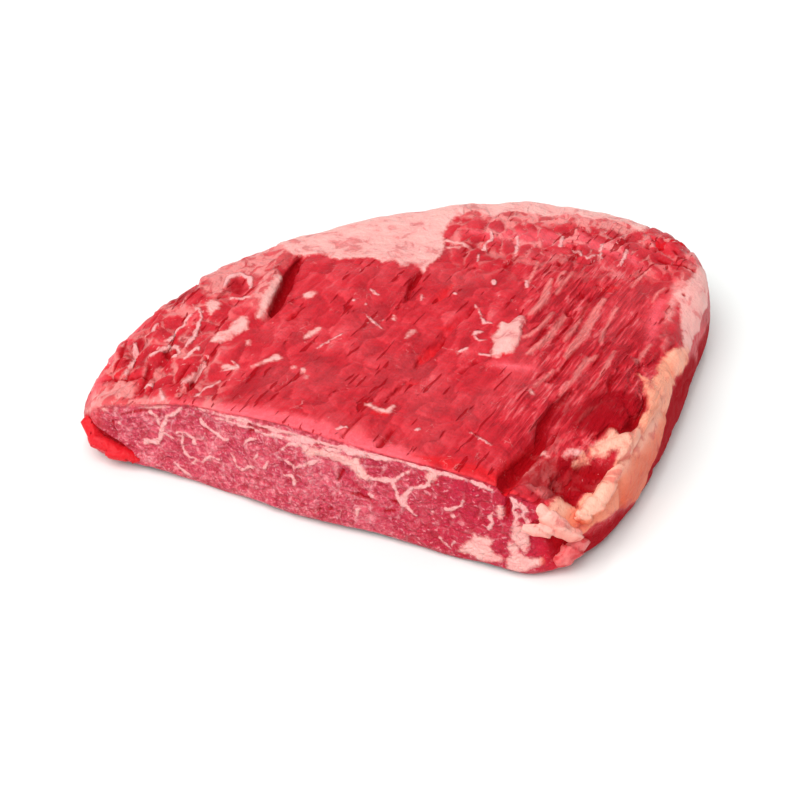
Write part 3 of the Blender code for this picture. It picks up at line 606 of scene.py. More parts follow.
# How closely the skin is drawn, in millimetres: columns of the wall along the natural edge and
# along the cut, its rings, and the top along and across the grain.
EDGE_COLUMN = 1.0
CUT_COLUMN = 0.5
WALL_RINGS = 62
ALONG_GRAIN = 0.95
ACROSS_GRAIN = 0.58
BASE_SPACING = 6.0
CURVE_STEPS = 24
# The grain runs at this angle to X, in degrees.
GRAIN_ANGLE = 63.0
# Depths inside a mark are measured up to this far, in mm, and a mark rises between these depths.
REACH = 2.5
RIM_OF_MARK = (-0.9, 0.6)
# Points of the top and the base have this distance along the outline.
OFF_THE_WALL = -100.0

# Relief of the skin, in mm. Flakes lie on the top, along and across the grain, with furrows between the
# fibres; both heights are where the surface is calm, and what is added where it is loose or coarse.
FLAKES = {"size": (11, 5.4), "height": 0.24, "when loose": 0.50, "rim": 1.2, "step": 0.35, "sway": 3.0}
FURROWS = {"size": (17, 2.2), "height": 0.06, "when coarse": 0.42}
# Smooth waves: height, size and seed. Those of the grain run along and across it.
GRAIN_WAVES = [(0.30, (11, 5), 4), (0.40, (24, 10), 5)]
TOP_WAVES = [(0.14, (3, 3), 6)]
CUT_WAVES = [(0.6, (17, 12), 9), (0.12, (1.4, 1.3), 8)]
# The cut face has bundles of fibre, with knobs that are highest in its middle.
BUNDLES = {"size": (5.2, 3.8), "height": 0.30, "rim": 1.3, "step": 0.25, "sway": 1.5}
KNOBS = {"size": (2.3, 1.9), "height": 0.14, "in the middle": 0.55, "rim": 0.8}
# The fat strip lies in lobes, along it and down it.
LOBES = {"size": (30, 17), "height": 1.5, "rim": 3.5, "slope": 0.8, "step": 0.3, "sway": 3.0}
STRIP_WAVES = [(0.5, (7, 5), 14)]
# The foot of the wall is tucked in by this much below this height.
TUCK = 1.3
TUCK_HEIGHT = 3.4

# What is stored on each point of a mesh for the material: how far inside each kind of mark it lies, and
# how the surface is there.
MARKS = ("fat", "seam", "film", "ridge", "crack", "fresh", "shade", "blush")
SURFACE = ("cut_face", "coarse", "tone", "slope", "peach", "veil")
FIELDS = (*MARKS, *SURFACE, "edge", "corner_side", "crest")

# Textures of the beef: whether they follow the place or the grain, their size in mm along each axis,
# detail, roughness and warp.
TEXTURES = {
    "fibres": ("grain", (11, 1.1, 1.1), 3, 0.55, 0.3),
    "strands": ("grain", (16, 4.2, 4.2), 3, 0.5, 0.8),
    "patches": ("place", (13, 13, 13), 2, 0.5, 0),
    "clouds": ("place", (20, 20, 20), 3, 0.5, 0),
    "sway": ("place", (3.5, 3.5, 3.5), 3, 0.5, 0),
    "grains": ("place", (0.8, 0.8, 0.8), 3, 0.65, 0),
    "bundles": ("place", (2.6, 2.6, 2.6), 3, 0.5, 0.8),
    "spots": ("place", (5, 5, 5), 2, 0.5, 0),
    "knob_patches": ("place", (9, 7, 7), 2, 0.5, 0),
    "small_waves": ("place", (1.3, 1.3, 1.3), 3, 0.6, 0),
    "slow_waves": ("place", (4, 4, 4), 3, 0.5, 0),
    "mottle": ("place", (7, 7, 7), 4, 0.6, 0.6),
    "film_patches": ("grain", (7, 4, 4), 3, 0.5, 0.8),
    "splits": ("grain", (14, 1.7, 1.7), 1.5, 0.4, 0.25),
    "split_patches": ("grain", (22, 12, 12), 2, 0.5, 0),
    "threads": ("place", (6, 6, 6), 3, 0.6, 0),
    "hairs": ("place", (5, 5, 5), 2, 0.5, 0.8),
    "hair_patches": ("place", (8, 8, 8), 2, 0.5, 0),
    "flecks": ("grain", (3.2, 1.3, 1.3), 3, 0.6, 0.6),
    "gloss": ("grain", (6, 2.2, 2.2), 3, 0.6, 0),
    "uneven": ("place", (2.4, 2.4, 2.4), 3, 0.55, 0),
}
# Values that run softly from 0 to 1: what each is read from, where it starts and where it is full.
STEPS = {
    "haze": ("clouds", 0.43, 0.63),
    "fresher": ("corner_side", -1.0, 1.0),
    "between": ("edge", 0.54, 0.02),
    "pale_here": ("spots", 0.46, 0.58),
    "dark_here": ("spots", 0.52, 0.42),
    "flake_here": ("spots", 0.52, 0.60),
    # The knobs get painted shade in their creases and a painted highlight on their tops; specks are painted
    # glints.
    "knobbly": ("knob_patches", 0.40, 0.52),
    "knob_crease": ("knob", 0.48, 0.64),
    "knob_highlight": ("knob", 0.32, 0.16),
    "speck": ("grains", 0.57, 0.67),
    "tint": ("mottle", 0.36, 0.64),
    "thin": ("mottle", 0.54, 0.66),
    # A painted highlight on the high, upward faces of the strip, and painted shade in the creases between its
    # lobes.
    "top_highlight": ("crest", 0.55, 0.95),
    "crease": ("edge", 1.6, -0.2),
    "pale_lobe": ("tone", 0.0, 1.0),
    "windows": ("film_patches", 0.41, 0.53),
    "hair_here": ("hair_patches", 0.55, 0.63),
}
# Values that rise or fall in line with another one: that one, its share and what is added.
LEVELS = {
    "wander": ("small_waves", 1.8, -0.9),
    "slow_wander": ("slow_waves", 5.0, -2.5),
    "fibre_swing": ("fibres", 1.0, -0.5),
    "fibre_share": ("coarse", 1.25, 0.15),
    "fibre_height": ("coarse", 1.3, 0.3),
    "pale_share": ("fresher", -0.3, 0.55),
    "sparkle_share": ("fresher", -0.27, 0.34),
    "knob_share": ("knobbly", 0.65, 0.35),
    "film_share": ("windows", 0.58, 0.18),
    "blush_grain": ("coarse", -0.75, 1.0),
    "blush_veil": ("veil", -0.35, 1.0),
    "blush_strands": ("strands", 0.8, 0.45),
    "ridge_share": ("fibres", 1.5, -0.05),
    "split_here": ("split_patches", 0.44, -0.22),
    "thread": ("threads", 6.4, -2.7),
    "damp": ("gloss", 0.30, 0.27),
}
# The edge of each kind of mark: the shares of the small and the slow wander, and how soft it is in mm.
MARK_EDGES = {
    "fat": (1.3, 0.25, 0.8), "crack": (0.6, 0, 0.5), "film": (0, 0.8, 1.6), "blush": (0, 0.6, 2.2),
    "ridge": (0.7, 0, 0.6), "shade": (0, 0.35, 1.8), "fresh": (0, 0.5, 1.6), "seam": (0.7, 0.38, 0.35),
}
BEEF = "raw_beef_cut_and_trimmed"
BUMP_DEPTH = 0.9 * MM
# What is the same all over the beef. Light goes a millimetre into it.
BEEF_SHADER = {
    "IOR": 1.36, "Subsurface Weight": 0.30, "Subsurface Radius": (1.0, 0.25, 0.2), "Subsurface Scale": 0.0010,
    "Coat Roughness": 0.10, "Coat IOR": 1.34,
}

# The stage, in metres and degrees: half the width of the floor, and a camera with a long lens that looks
# down at its aim from this far.
FLOOR_REACH = 4
CAMERA_AIM = (-0.00266, -0.01958, 0.015)
CAMERA_DISTANCE = 0.709
CAMERA_TILT = 35
CAMERA_LENS_MM = 100
CAMERA_SENSOR_MM = 36
# The lights: how wide each one is in the sky, in degrees, and where it shines to.
LIGHTS = {
    "key": (60, (0.30, 0.39, -0.87)),
    "fill": (80, (0.30, 0.86, -0.42)),
    "glint": (7, (-0.10, -0.45, -0.88)),
}


def linear(hex_colour):
    """An sRGB hex colour as linear red, green and blue."""
    parts = [int(hex_colour[i:i + 2], 16) / 255 for i in (1, 3, 5)]
    return tuple(c / 12.92 if c <= 0.04045 else ((c + 0.055) / 1.055) ** 2.4 for c in parts)


def smooth_step(low, high, value):
    """0 below low, 1 above high and a smooth ramp between."""
    t = np.clip((np.asarray(value, float) - low) / (high - low), 0, 1)
    return t * t * (3 - 2 * t)


def closed_curve(points):
    """A centripetal Catmull-Rom curve through the points and back to the first, as a dense polygon."""
    p = np.array(points, float)
    n = len(p)
    drawn = []
    for i in range(n):
        a, b, c, d = p[i - 1], p[i], p[(i + 1) % n], p[(i + 2) % n]
        knots = [0.0]
        for start, end in ((a, b), (b, c), (c, d)):
            knots.append(knots[-1] + math.sqrt(np.linalg.norm(end - start)))
        t0, t1, t2, t3 = knots
        t = np.linspace(t1, t2, CURVE_STEPS, endpoint=False)[:, None]
        ab = (t1 - t) / (t1 - t0) * a + (t - t0) / (t1 - t0) * b
        bc = (t2 - t) / (t2 - t1) * b + (t - t1) / (t2 - t1) * c
        cd = (t3 - t) / (t3 - t2) * c + (t - t2) / (t3 - t2) * d
        abc = (t2 - t) / (t2 - t0) * ab + (t - t0) / (t2 - t0) * bc
        bcd = (t3 - t) / (t3 - t1) * bc + (t - t1) / (t3 - t1) * cd
        drawn.append((t2 - t) / (t2 - t1) * abc + (t - t1) / (t2 - t1) * bcd)
    return np.concatenate(drawn)


def outline():
    """Points of the outline, their distances along it, and how far each belongs to the knife cut."""
    dense = closed_curve(NATURAL_EDGE + KNIFE_CUT)
    ring = np.vstack([dense, dense[:1]])
    along = np.concatenate([[0], np.cumsum(np.linalg.norm(np.diff(ring, axis=0), axis=1))])
    starts = along[len(NATURAL_EDGE) * CURVE_STEPS]
    at = np.concatenate([np.arange(0, starts, EDGE_COLUMN), np.arange(starts, along[-1] - 0.2, CUT_COLUMN)])
    points = np.stack([np.interp(at, along, ring[:, k]) for k in (0, 1)], 1)
    cut = smooth_step(starts - CUT_BLEND, starts + CUT_BLEND, at)
    cut *= 1 - smooth_step(along[-1] - 2 * CUT_BLEND, along[-1], at)
    return points, at, cut


def thickness(x, y):
    """Height of the smooth top over the base at a place in plan."""
    z = FULL_THICKNESS
    for drop, axis, start, end in THINNER:
        z = z - drop * smooth_step(start, end, (x, y)[axis])
    return z


def nearness(at, line):
    """1 on a line of (x, y, half width) points, falling smoothly to 0 half a width away."""
    line = np.array(line, float)
    best = np.zeros(len(at))
    widest = line[:, 2].max()
    for a, b in zip(line[:-1], line[1:]):
        along = b[:2] - a[:2]
        t = np.clip((at - a[:2]) @ along / (along @ along), 0, 1)
        distance = np.linalg.norm(at - a[:2] - t[:, None] * along, axis=1)
        half_width = a[2] + t * (b[2] - a[2])
        best = np.maximum(best, (1 - smooth_step(0, 1, distance / half_width)) * half_width / widest)
    return best


def relief(at):
    """How much higher than the smooth top the steak is at places in plan."""
    z = np.zeros(len(at))
    for height, radius, middle in SWELLS:
        z += height * (1 - smooth_step(0, 1, np.linalg.norm(at - middle, axis=1) / radius))
    for height, line in RELIEF.values():
        z += height * nearness(at, line)
    return z


def raised(points):
    """The points of the skin with the relief added: all of it on the top, fading down the wall."""
    smooth_top = thickness(points[:, 0], points[:, 1])
    share = smooth_step(*RELIEF_COMES_IN, points[:, 2] / smooth_top)
    return points + np.column_stack([np.zeros((len(points), 2)), share * relief(points[:, :2])])


def inward(points):
    """Unit directions from outline points towards the spine of the piece."""
    a, b = np.array(SPINE, float)
    t = np.clip((points - a) @ (b - a) / ((b - a) @ (b - a)), 0, 1)
    to_spine = a + t[:, None] * (b - a) - points
    return to_spine / np.linalg.norm(to_spine, axis=1)[:, None]


def wall(points, cut, rings):
    """The wall as rings x columns of points, from the edge of the base up to the edge of the top."""
    profile = {k: EDGE_PROFILE[k] + cut * (CUT_PROFILE[k] - EDGE_PROFILE[k]) for k in EDGE_PROFILE}
    angles = np.radians(np.linspace(-90, 90, 181))
    cos, sin = np.cos(angles).clip(0), np.abs(np.sin(angles))
    direction = inward(points)
    columns = []
    for j, point in enumerate(points):
        p = {k: v[j] for k, v in profile.items()}
        upper = angles > 0
        power = np.where(upper, 2 / p["square_top"], 2 / p["square_foot"])
        inset = np.where(upper, p["shoulder"], p["foot"]) * (1 - cos**power)
        plan = point + inset[:, None] * direction[j]
        top = thickness(plan[:, 0], plan[:, 1])
        z = np.where(upper, p["widest"] + (top - p["widest"]) * sin**power, p["widest"] * (1 - sin**power))
        line = np.column_stack([plan, z])
        run = np.concatenate([[0], np.cumsum(np.linalg.norm(np.diff(line, axis=0), axis=1))])
        at = np.linspace(0, run[-1], rings)
        columns.append(np.stack([np.interp(at, run, line[:, k]) for k in range(3)], 1))
    return np.stack(columns, 1)


def grain_axes(along, across):
    """The matrix that turns plan places into steps along and across the grain."""
    turn = math.radians(GRAIN_ANGLE)
    return np.array([[math.cos(turn) / along, -math.sin(turn) / across],
                     [math.sin(turn) / along, math.cos(turn) / across]])


def filled(loop, along, across):
    """Extra points inside a plan loop, and the triangles that fill it, numbered loop first."""
    to_grain = grain_axes(along, across)
    edge = loop @ to_grain
    following = np.roll(edge, -1, 0)
    low, high = edge.min(0), edge.max(0)
    inside = []
    for k, y in enumerate(np.arange(low[1] + 0.5, high[1], 1)):
        x = np.arange(low[0] + (k % 2) / 2, high[0], 1)
        crosses = (edge[:, 1] > y) != (following[:, 1] > y)
        a, b = edge[crosses], following[crosses]
        hits = a[:, 0] + (y - a[:, 1]) / (b[:, 1] - a[:, 1]) * (b[:, 0] - a[:, 0])
        x = x[(x[:, None] > hits).sum(1) % 2 == 1]
        for at in x:
            if np.min(np.linalg.norm(edge - (at, y), axis=1)) > 0.6:
                inside.append((at, y))
    inside = np.array(inside)
    drawn = delaunay_2d_cdt(np.vstack([edge, inside]).tolist(), [], [list(range(len(loop)))], 1, 1e-6)
    return inside @ np.linalg.inv(to_grain), [list(face) for face in drawn[2]]


def along_line(at, line):
    """How far inside a line of (x, y, half width) points each place is, in mm; negative outside."""
    best = np.full(len(at), -REACH)
    if len(line) == 1:
        return np.maximum(best, line[0, 2] - np.linalg.norm(at - line[0, :2], axis=1))
    for a, b in zip(line[:-1], line[1:]):
        along = b[:2] - a[:2]
        t = np.clip((at - a[:2]) @ along / (along @ along), 0, 1)
        distance = np.linalg.norm(at - a[:2] - t[:, None] * along, axis=1)
        best = np.maximum(best, a[2] + t * (b[2] - a[2]) - distance)
    return best


def inside_patch(at, corners):
    """How far inside a patch with those corners each place is, in mm; negative outside."""
    nearest = np.full(len(at), REACH)
    inside = np.zeros(len(at), bool)
    for a, b in zip(corners, np.roll(corners, -1, 0)):
        along = b - a
        t = np.clip((at - a) @ along / (along @ along), 0, 1)
        nearest = np.minimum(nearest, np.linalg.norm(at - a - t[:, None] * along, axis=1))
        if a[1] != b[1]:
            crosses = (a[1] > at[:, 1]) != (b[1] > at[:, 1])
            inside ^= crosses & (at[:, 0] < a[0] + (at[:, 1] - a[1]) / (b[1] - a[1]) * (b[0] - a[0]))
    return np.where(inside, nearest, -nearest)


def marked(at, group):
    """How far inside the marks of a group each place is, and how much they raise the surface there."""
    depth = np.full(len(at), -REACH)
    rise = np.zeros(len(at))
    for height, points in group.values():
        points = np.array(points, float)
        low = points[:, :2].min(0) - REACH - 2
        high = points[:, :2].max(0) + REACH + 2
        near = np.flatnonzero(((at > low) & (at < high)).all(1))
        shape = along_line if points.shape[1] == 3 else inside_patch
        inside = shape(at[near], points)
        depth[near] = np.maximum(depth[near], inside)
        rise[near] += height * smooth_step(*RIM_OF_MARK, inside)
    return depth, rise


def lumps(at, size, seed):
    """Smooth noise from -1 to 1 over places in plan, with lumps of that size in mm on each axis."""
    table = np.random.default_rng(seed).uniform(-1, 1, (128, 128))
    p = at / np.array(size, float) + 64
    cell = np.floor(p).astype(int)
    t = p - cell
    t = t * t * (3 - 2 * t)
    i, j = cell[:, 0] % 128, cell[:, 1] % 128
    k, m = (i + 1) % 128, (j + 1) % 128
    near = table[i, j] * (1 - t[:, 0]) + table[k, j] * t[:, 0]
    far = table[i, m] * (1 - t[:, 0]) + table[k, m] * t[:, 0]
    return near * (1 - t[:, 1]) + far * t[:, 1]


def cells(at, size, seed):
    """Irregular cells of about that size in mm: for each place the distance to its cell's edge in mm,
    a value from -1 to 1 that is the same all over the cell, and a slope that runs from about -1 to 1
    across it."""
    rng = np.random.default_rng(seed)
    shift = rng.uniform(-0.42, 0.42, (64, 64, 2))
    values = rng.uniform(-1, 1, (64, 64))
    p = at / np.array(size, float)
    base = np.floor(p).astype(int)
    first = np.full(len(at), np.inf)
    second = np.full(len(at), np.inf)
    own = np.zeros(len(at))
    slope = np.zeros(len(at))
    for step in np.ndindex(3, 3):
        cell = base + step - 1
        i, j = cell[:, 0] % 64, cell[:, 1] % 64
        offset = p - cell - 0.5 - shift[i, j]
        distance = np.linalg.norm(offset, axis=1)
        nearer = distance < first
        turn = 1.6 + values[i, j]
        slope = np.where(nearer, 1.6 * (offset[:, 0] * np.cos(turn) + offset[:, 1] * np.sin(turn)), slope)
        second = np.where(nearer, first, np.minimum(second, distance))
        own = np.where(nearer, values[i, j], own)
        first = np.minimum(first, distance)
    return (second - first) / 2 * np.mean(size), own, slope


def placed(vertices):
    """Points in millimetres of the plan as metres about the origin, stretched to the chosen size."""
    sizes = bpy.context.scene.steak_sizes
    chosen = np.array([sizes.length, sizes.width, sizes.thickness])
    return (vertices - PLAN_MIDDLE) * MM * chosen / np.subtract(CAD_BOX[1], CAD_BOX[0])


def mesh_object(name, vertices, faces):
    """An object made from points in millimetres of the plan, with smooth outward faces."""
    mesh = bpy.data.meshes.new(name)
    mesh.from_pydata(placed(vertices).tolist(), [], faces)
    build = bmesh.new()
    build.from_mesh(mesh)
    bmesh.ops.recalc_face_normals(build, faces=build.faces)
    build.to_mesh(mesh)
    build.free()
    mesh.shade_smooth()
    made = bpy.data.objects.new(name, mesh)
    bpy.context.scene.collection.objects.link(made)
    return made


def normals_of(mesh):
    """The smooth normals of the points of a mesh."""
    found = np.empty(len(mesh.vertices) * 3, np.float32)
    mesh.vertex_normals.foreach_get("vector", found)
    return found.reshape(-1, 3).astype(float)


def moved(mesh, vertices):
    """Puts the points of a mesh at new places, in millimetres of the plan."""
    mesh.vertices.foreach_set("co", placed(vertices).astype(np.float32).ravel())
    mesh.update()


def record_fields(mesh, fields):
    """Stores named values on the points of a mesh, for its material to read."""
    for name, values in fields.items():
        made = mesh.attributes.new(name, "FLOAT", "POINT")
        made.data.foreach_set("value", np.asarray(values, np.float32))


def finished(piece, material):
    """Gives a piece its material and ties it to the frame."""
    piece.data.materials.clear()
    piece.data.materials.append(material)
    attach(piece, "root")
    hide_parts("steak")


def skin_mesh():
    """The closed skin: points, faces, and for each point its distance along the outline and cut share."""
    points, along, cut = outline()
    shell = wall(points, cut, WALL_RINGS)
    rings, columns, _ = shell.shape
    top_points, top_faces = filled(shell[-1, :, :2], ALONG_GRAIN, ACROSS_GRAIN)
    base_points, base_faces = filled(shell[0, :, :2], BASE_SPACING, BASE_SPACING)
    vertices = np.vstack([
        shell.reshape(-1, 3),
        np.column_stack([top_points, thickness(top_points[:, 0], top_points[:, 1])]),
        np.column_stack([base_points, np.zeros(len(base_points))]),
    ])
    vertices = raised(vertices)
    faces = []
    for i in range(rings - 1):
        for j in range(columns):
            k = (j + 1) % columns
            faces.append([i * columns + k, i * columns + j, (i + 1) * columns + j, (i + 1) * columns + k])
    top_start = rings * columns
    base_start = top_start + len(top_points)
    last = (rings - 1) * columns
    for face in top_faces:
        faces.append([last + v if v < columns else top_start + v - columns for v in face])
    for face in base_faces:
        faces.append([v if v < columns else base_start + v - columns for v in face])
    others = len(vertices) - top_start
    distance = np.concatenate([np.tile(along, rings), np.full(others, OFF_THE_WALL)])
    share = np.concatenate([np.tile(cut, rings), np.zeros(others)])
    return vertices, faces, distance, share


def smooth_waves(at, waves):
    """The sum of some smooth waves at places."""
    return sum(height * lumps(at, size, seed) for height, size, seed in waves)


def sway(at, shift, sizes, seeds):
    """Shifts this way and that at places, so that cells don't lie in straight rows."""
    return shift * np.column_stack([lumps(at, (size, size), seed) for size, seed in zip(sizes, seeds)])


def mark_fields(plan, side, above, on_wall):
    """How far inside each kind of mark every point lies, and how much the marks raise it."""
    groups = {
        "fat": (TOP_FAT, {**WALL_FAT, **WALL_PEACH}),
        "seam": (TOP_SEAMS, WALL_SEAMS),
        "film": (TOP_FILM, {}),
        "ridge": (TOP_RIDGES, {}),
        "crack": (TOP_CRACK_SHADE, WALL_CRACK_SHADE),
        "fresh": (TOP_RED, WALL_RED),
        "shade": (TOP_PAINTED_SHADE, WALL_PAINTED_SHADE),
        "blush": (TOP_BLUSH, {}),
    }
    fields = {}
    rise = np.zeros(len(plan))
    for name, (on_top, on_side) in groups.items():
        top_depth, top_rise = marked(plan, on_top)
        side_depth, side_rise = marked(side, on_side)
        side_depth[~on_wall] = -REACH
        side_rise[~on_wall] = 0
        fields[name] = above * top_depth + (1 - above) * side_depth
        rise += above * top_rise + (1 - above) * side_rise
    return fields, rise


def top_relief(plan, coarse, loose, fat):
    """Furrows of the grain, and flakes that overlap and are loose where the membrane is torn: the relief,
    then for each point the distance to the edge of its flake, the flake's tone and its slope."""
    grain = plan @ grain_axes(1, 1)
    swayed = grain + sway(plan, FLAKES["sway"], (8, 6), (21, 22))
    edge, tone, slope = cells(swayed, FLAKES["size"], 23)
    flakes = (FLAKES["height"] + FLAKES["when loose"] * loose) * (1 - 0.6 * coarse)
    flakes *= smooth_step(0, FLAKES["rim"], edge) * (1 + slope)
    flakes += FLAKES["step"] * loose * tone
    flakes *= 1 - smooth_step(-2, 1, fat)
    furrows = (FURROWS["height"] + FURROWS["when coarse"] * coarse) * lumps(grain, FURROWS["size"], 3)
    relief_here = flakes + furrows + smooth_waves(grain, GRAIN_WAVES) + smooth_waves(plan, TOP_WAVES)
    return relief_here, edge, tone, slope


def cut_relief(side, cut):
    """Bundles of fibre on the cut face: the relief, then the distance to a bundle's edge and its tone."""
    distance, height = side.T
    swayed = side + sway(side, BUNDLES["sway"], (5, 4), (24, 25))
    edge, tone, _ = cells(swayed, BUNDLES["size"], 26)
    knob_edge, _, _ = cells(swayed, KNOBS["size"], 27)
    middle = smooth_step(486, 500, distance) * (1 - smooth_step(514, 528, distance))
    knob_height = KNOBS["height"] + KNOBS["in the middle"] * middle * smooth_step(26, 21, height)
    relief_here = BUNDLES["height"] * smooth_step(0, BUNDLES["rim"], edge) + BUNDLES["step"] * tone
    relief_here += knob_height * smooth_step(0, KNOBS["rim"], knob_edge) + smooth_waves(side, CUT_WAVES)
    return relief_here * (0.3 + 0.7 * cut), edge, tone


def strip_relief(vertices, above):
    """Lobes of the fat strip over its rim and down the wall: the relief, the distance to a lobe's edge and
    its tone."""
    along_strip, across_strip = (0.5, 0.87), (0.87, -0.5)
    plan = vertices[:, :2]
    place = np.column_stack([plan @ along_strip, plan @ across_strip - 0.9 * vertices[:, 2]])
    place += sway(place, LOBES["sway"], (9, 8), (10, 30))
    edge, tone, slope = cells(place, LOBES["size"], 29)
    lobes = LOBES["height"] * smooth_step(0, LOBES["rim"], edge) - 1.0
    lobes += LOBES["slope"] * slope + LOBES["step"] * tone + smooth_waves(place, STRIP_WAVES)
    return lobes * (0.4 + 0.6 * above), edge, tone


def skin_fields(vertices, upward, distance, cut):
    """What lies where on the skin, and how far each point stands out for it, in mm."""
    plan = vertices[:, :2]
    height = vertices[:, 2]
    side = np.column_stack([distance, height])
    above = smooth_step(0.2, 0.6, upward)
    on_wall = distance > OFF_THE_WALL / 2
    fields, stands_out = mark_fields(plan, side, above, on_wall)
    peach = np.maximum(
        marked(plan, {"strip": TOP_FAT["strip"]})[0],
        np.where(on_wall, marked(side, WALL_PEACH)[0], -REACH),
    )
    coarse = coarse_grain(plan)
    on_strip = smooth_step(-1.5, 1.0, peach)
    fields["peach"] = on_strip
    # Painted top light: high places that face up get the pale strip colour, a painted highlight.
    fields["crest"] = smooth_step(11, 25, height) * smooth_step(-0.4, 0.4, upward)
    fields["cut_face"] = cut * (1 - above)
    fields["veil"] = veil(plan) * (0.2 + 0.8 * above)
    fields["coarse"] = coarse * above
    # From the middle of the cut to its corner, with an uneven border.
    fields["corner_side"] = (483 - distance) / 14 + 0.4 * lumps(side, (7, 6), 13)

    top, top_edge, top_tone, top_slope = top_relief(plan, coarse, fields["veil"], fields["fat"])
    cut_bundles, cut_edge, cut_tone = cut_relief(side, cut)
    lobes, lobe_edge, lobe_tone = strip_relief(vertices, above)
    edge = above * top_edge + (1 - above) * np.where(on_wall, cut_edge, 2)
    tone = above * top_tone + (1 - above) * np.where(on_wall, cut_tone, 0)
    fields["edge"] = on_strip * lobe_edge + (1 - on_strip) * edge
    fields["tone"] = on_strip * lobe_tone + (1 - on_strip) * tone
    fields["slope"] = above * top_slope
    stands_out += above * top + (1 - above) * np.where(on_wall, cut_bundles, 0)
    stands_out += smooth_step(-0.5, 3.0, peach) * lobes
    stands_out *= smooth_step(0.5, 4.0, height)
    # The foot is tucked in unevenly, so a thin gap of shadow runs along the floor.
    tuck = TUCK + 0.9 * lumps(side, (13, 40), 15)
    stands_out -= np.where(on_wall, tuck * (1 - smooth_step(0, TUCK_HEIGHT, height)), 0)
    return fields, stands_out


def coarse_grain(plan):
    """How coarse the grain is at places in plan, from 0 to 1: coarse at the right and before the corner."""
    x, y = plan[:, 0], plan[:, 1]
    right = smooth_step(34, 44, x) * (1 - smooth_step(74, 84, x))
    right *= smooth_step(-62, -44, y) * (1 - smooth_step(32, 50, y))
    corner = 1 - smooth_step(12, 26, np.hypot(x - 44, y + 48))
    return np.maximum(right, 0.9 * corner)


def veil(plan):
    """How much loose membrane lies on the top at places in plan, from 0 to 1."""
    x, y = plan[:, 0], plan[:, 1]
    back = smooth_step(20, 60, y) * smooth_step(4, 24, x)
    tip = 1 - smooth_step(-66, -50, x)
    corner = 1 - smooth_step(10, 18, np.hypot(x - 48, y + 72))
    return np.maximum(np.maximum(0.85 * back, 0.8 * tip), 0.35 * corner)


def roll_mesh(line, sides=36, rings=60):
    """A closed roll round a line of (x, y, z, half width, half height) points, rounded at both ends."""
    line = np.array(line, float)
    at = (1 - np.cos(np.linspace(0, math.pi, rings + 2))) / 2 * (len(line) - 1)
    t = np.stack([np.interp(at, np.arange(len(line)), line[:, k]) for k in range(5)], 1)
    end = np.sqrt(np.clip(1 - np.linspace(-1, 1, rings + 2) ** 4, 0, 1))
    vertices = [t[0, :3], t[-1, :3]]
    for k in range(1, rings + 1):
        forward = t[k + 1, :3] - t[k - 1, :3]
        across = np.cross(forward, (0, 0, 1))
        across /= np.linalg.norm(across)
        up = np.cross(across, forward)
        up /= np.linalg.norm(up)
        for j in range(sides):
            turn = math.tau * j / sides
            offset = across * math.cos(turn) * t[k, 3] + up * math.sin(turn) * t[k, 4]
            vertices.append(t[k, :3] + end[k] * offset)
    faces = []
    for k in range(rings - 1):
        for j in range(sides):
            a, b = 2 + k * sides + j, 2 + k * sides + (j + 1) % sides
            faces.append([a, b, b + sides, a + sides])
    last = 2 + (rings - 1) * sides
    for j in range(sides):
        following = (j + 1) % sides
        faces.append([0, 2 + following, 2 + j])
        faces.append([1, last + j, last + following])
    return np.array(vertices), faces


def add_node(tree, kind, *values, output=0, **settings):
    """Adds a node with its settings and gives one of its outputs.

    The values are set on, or linked to, the inputs that those settings leave in use, in order.
    """
    made = tree.nodes.new("ShaderNode" + kind)
    for name, setting in settings.items():
        setattr(made, name, setting)
    in_use = [socket for socket in made.inputs if socket.enabled]
    for socket, value in zip(in_use, values):
        if isinstance(value, bpy.types.NodeSocket):
            tree.links.new(value, socket)
        elif value is not None:
            socket.default_value = value
    return [socket for socket in made.outputs if socket.enabled][output]


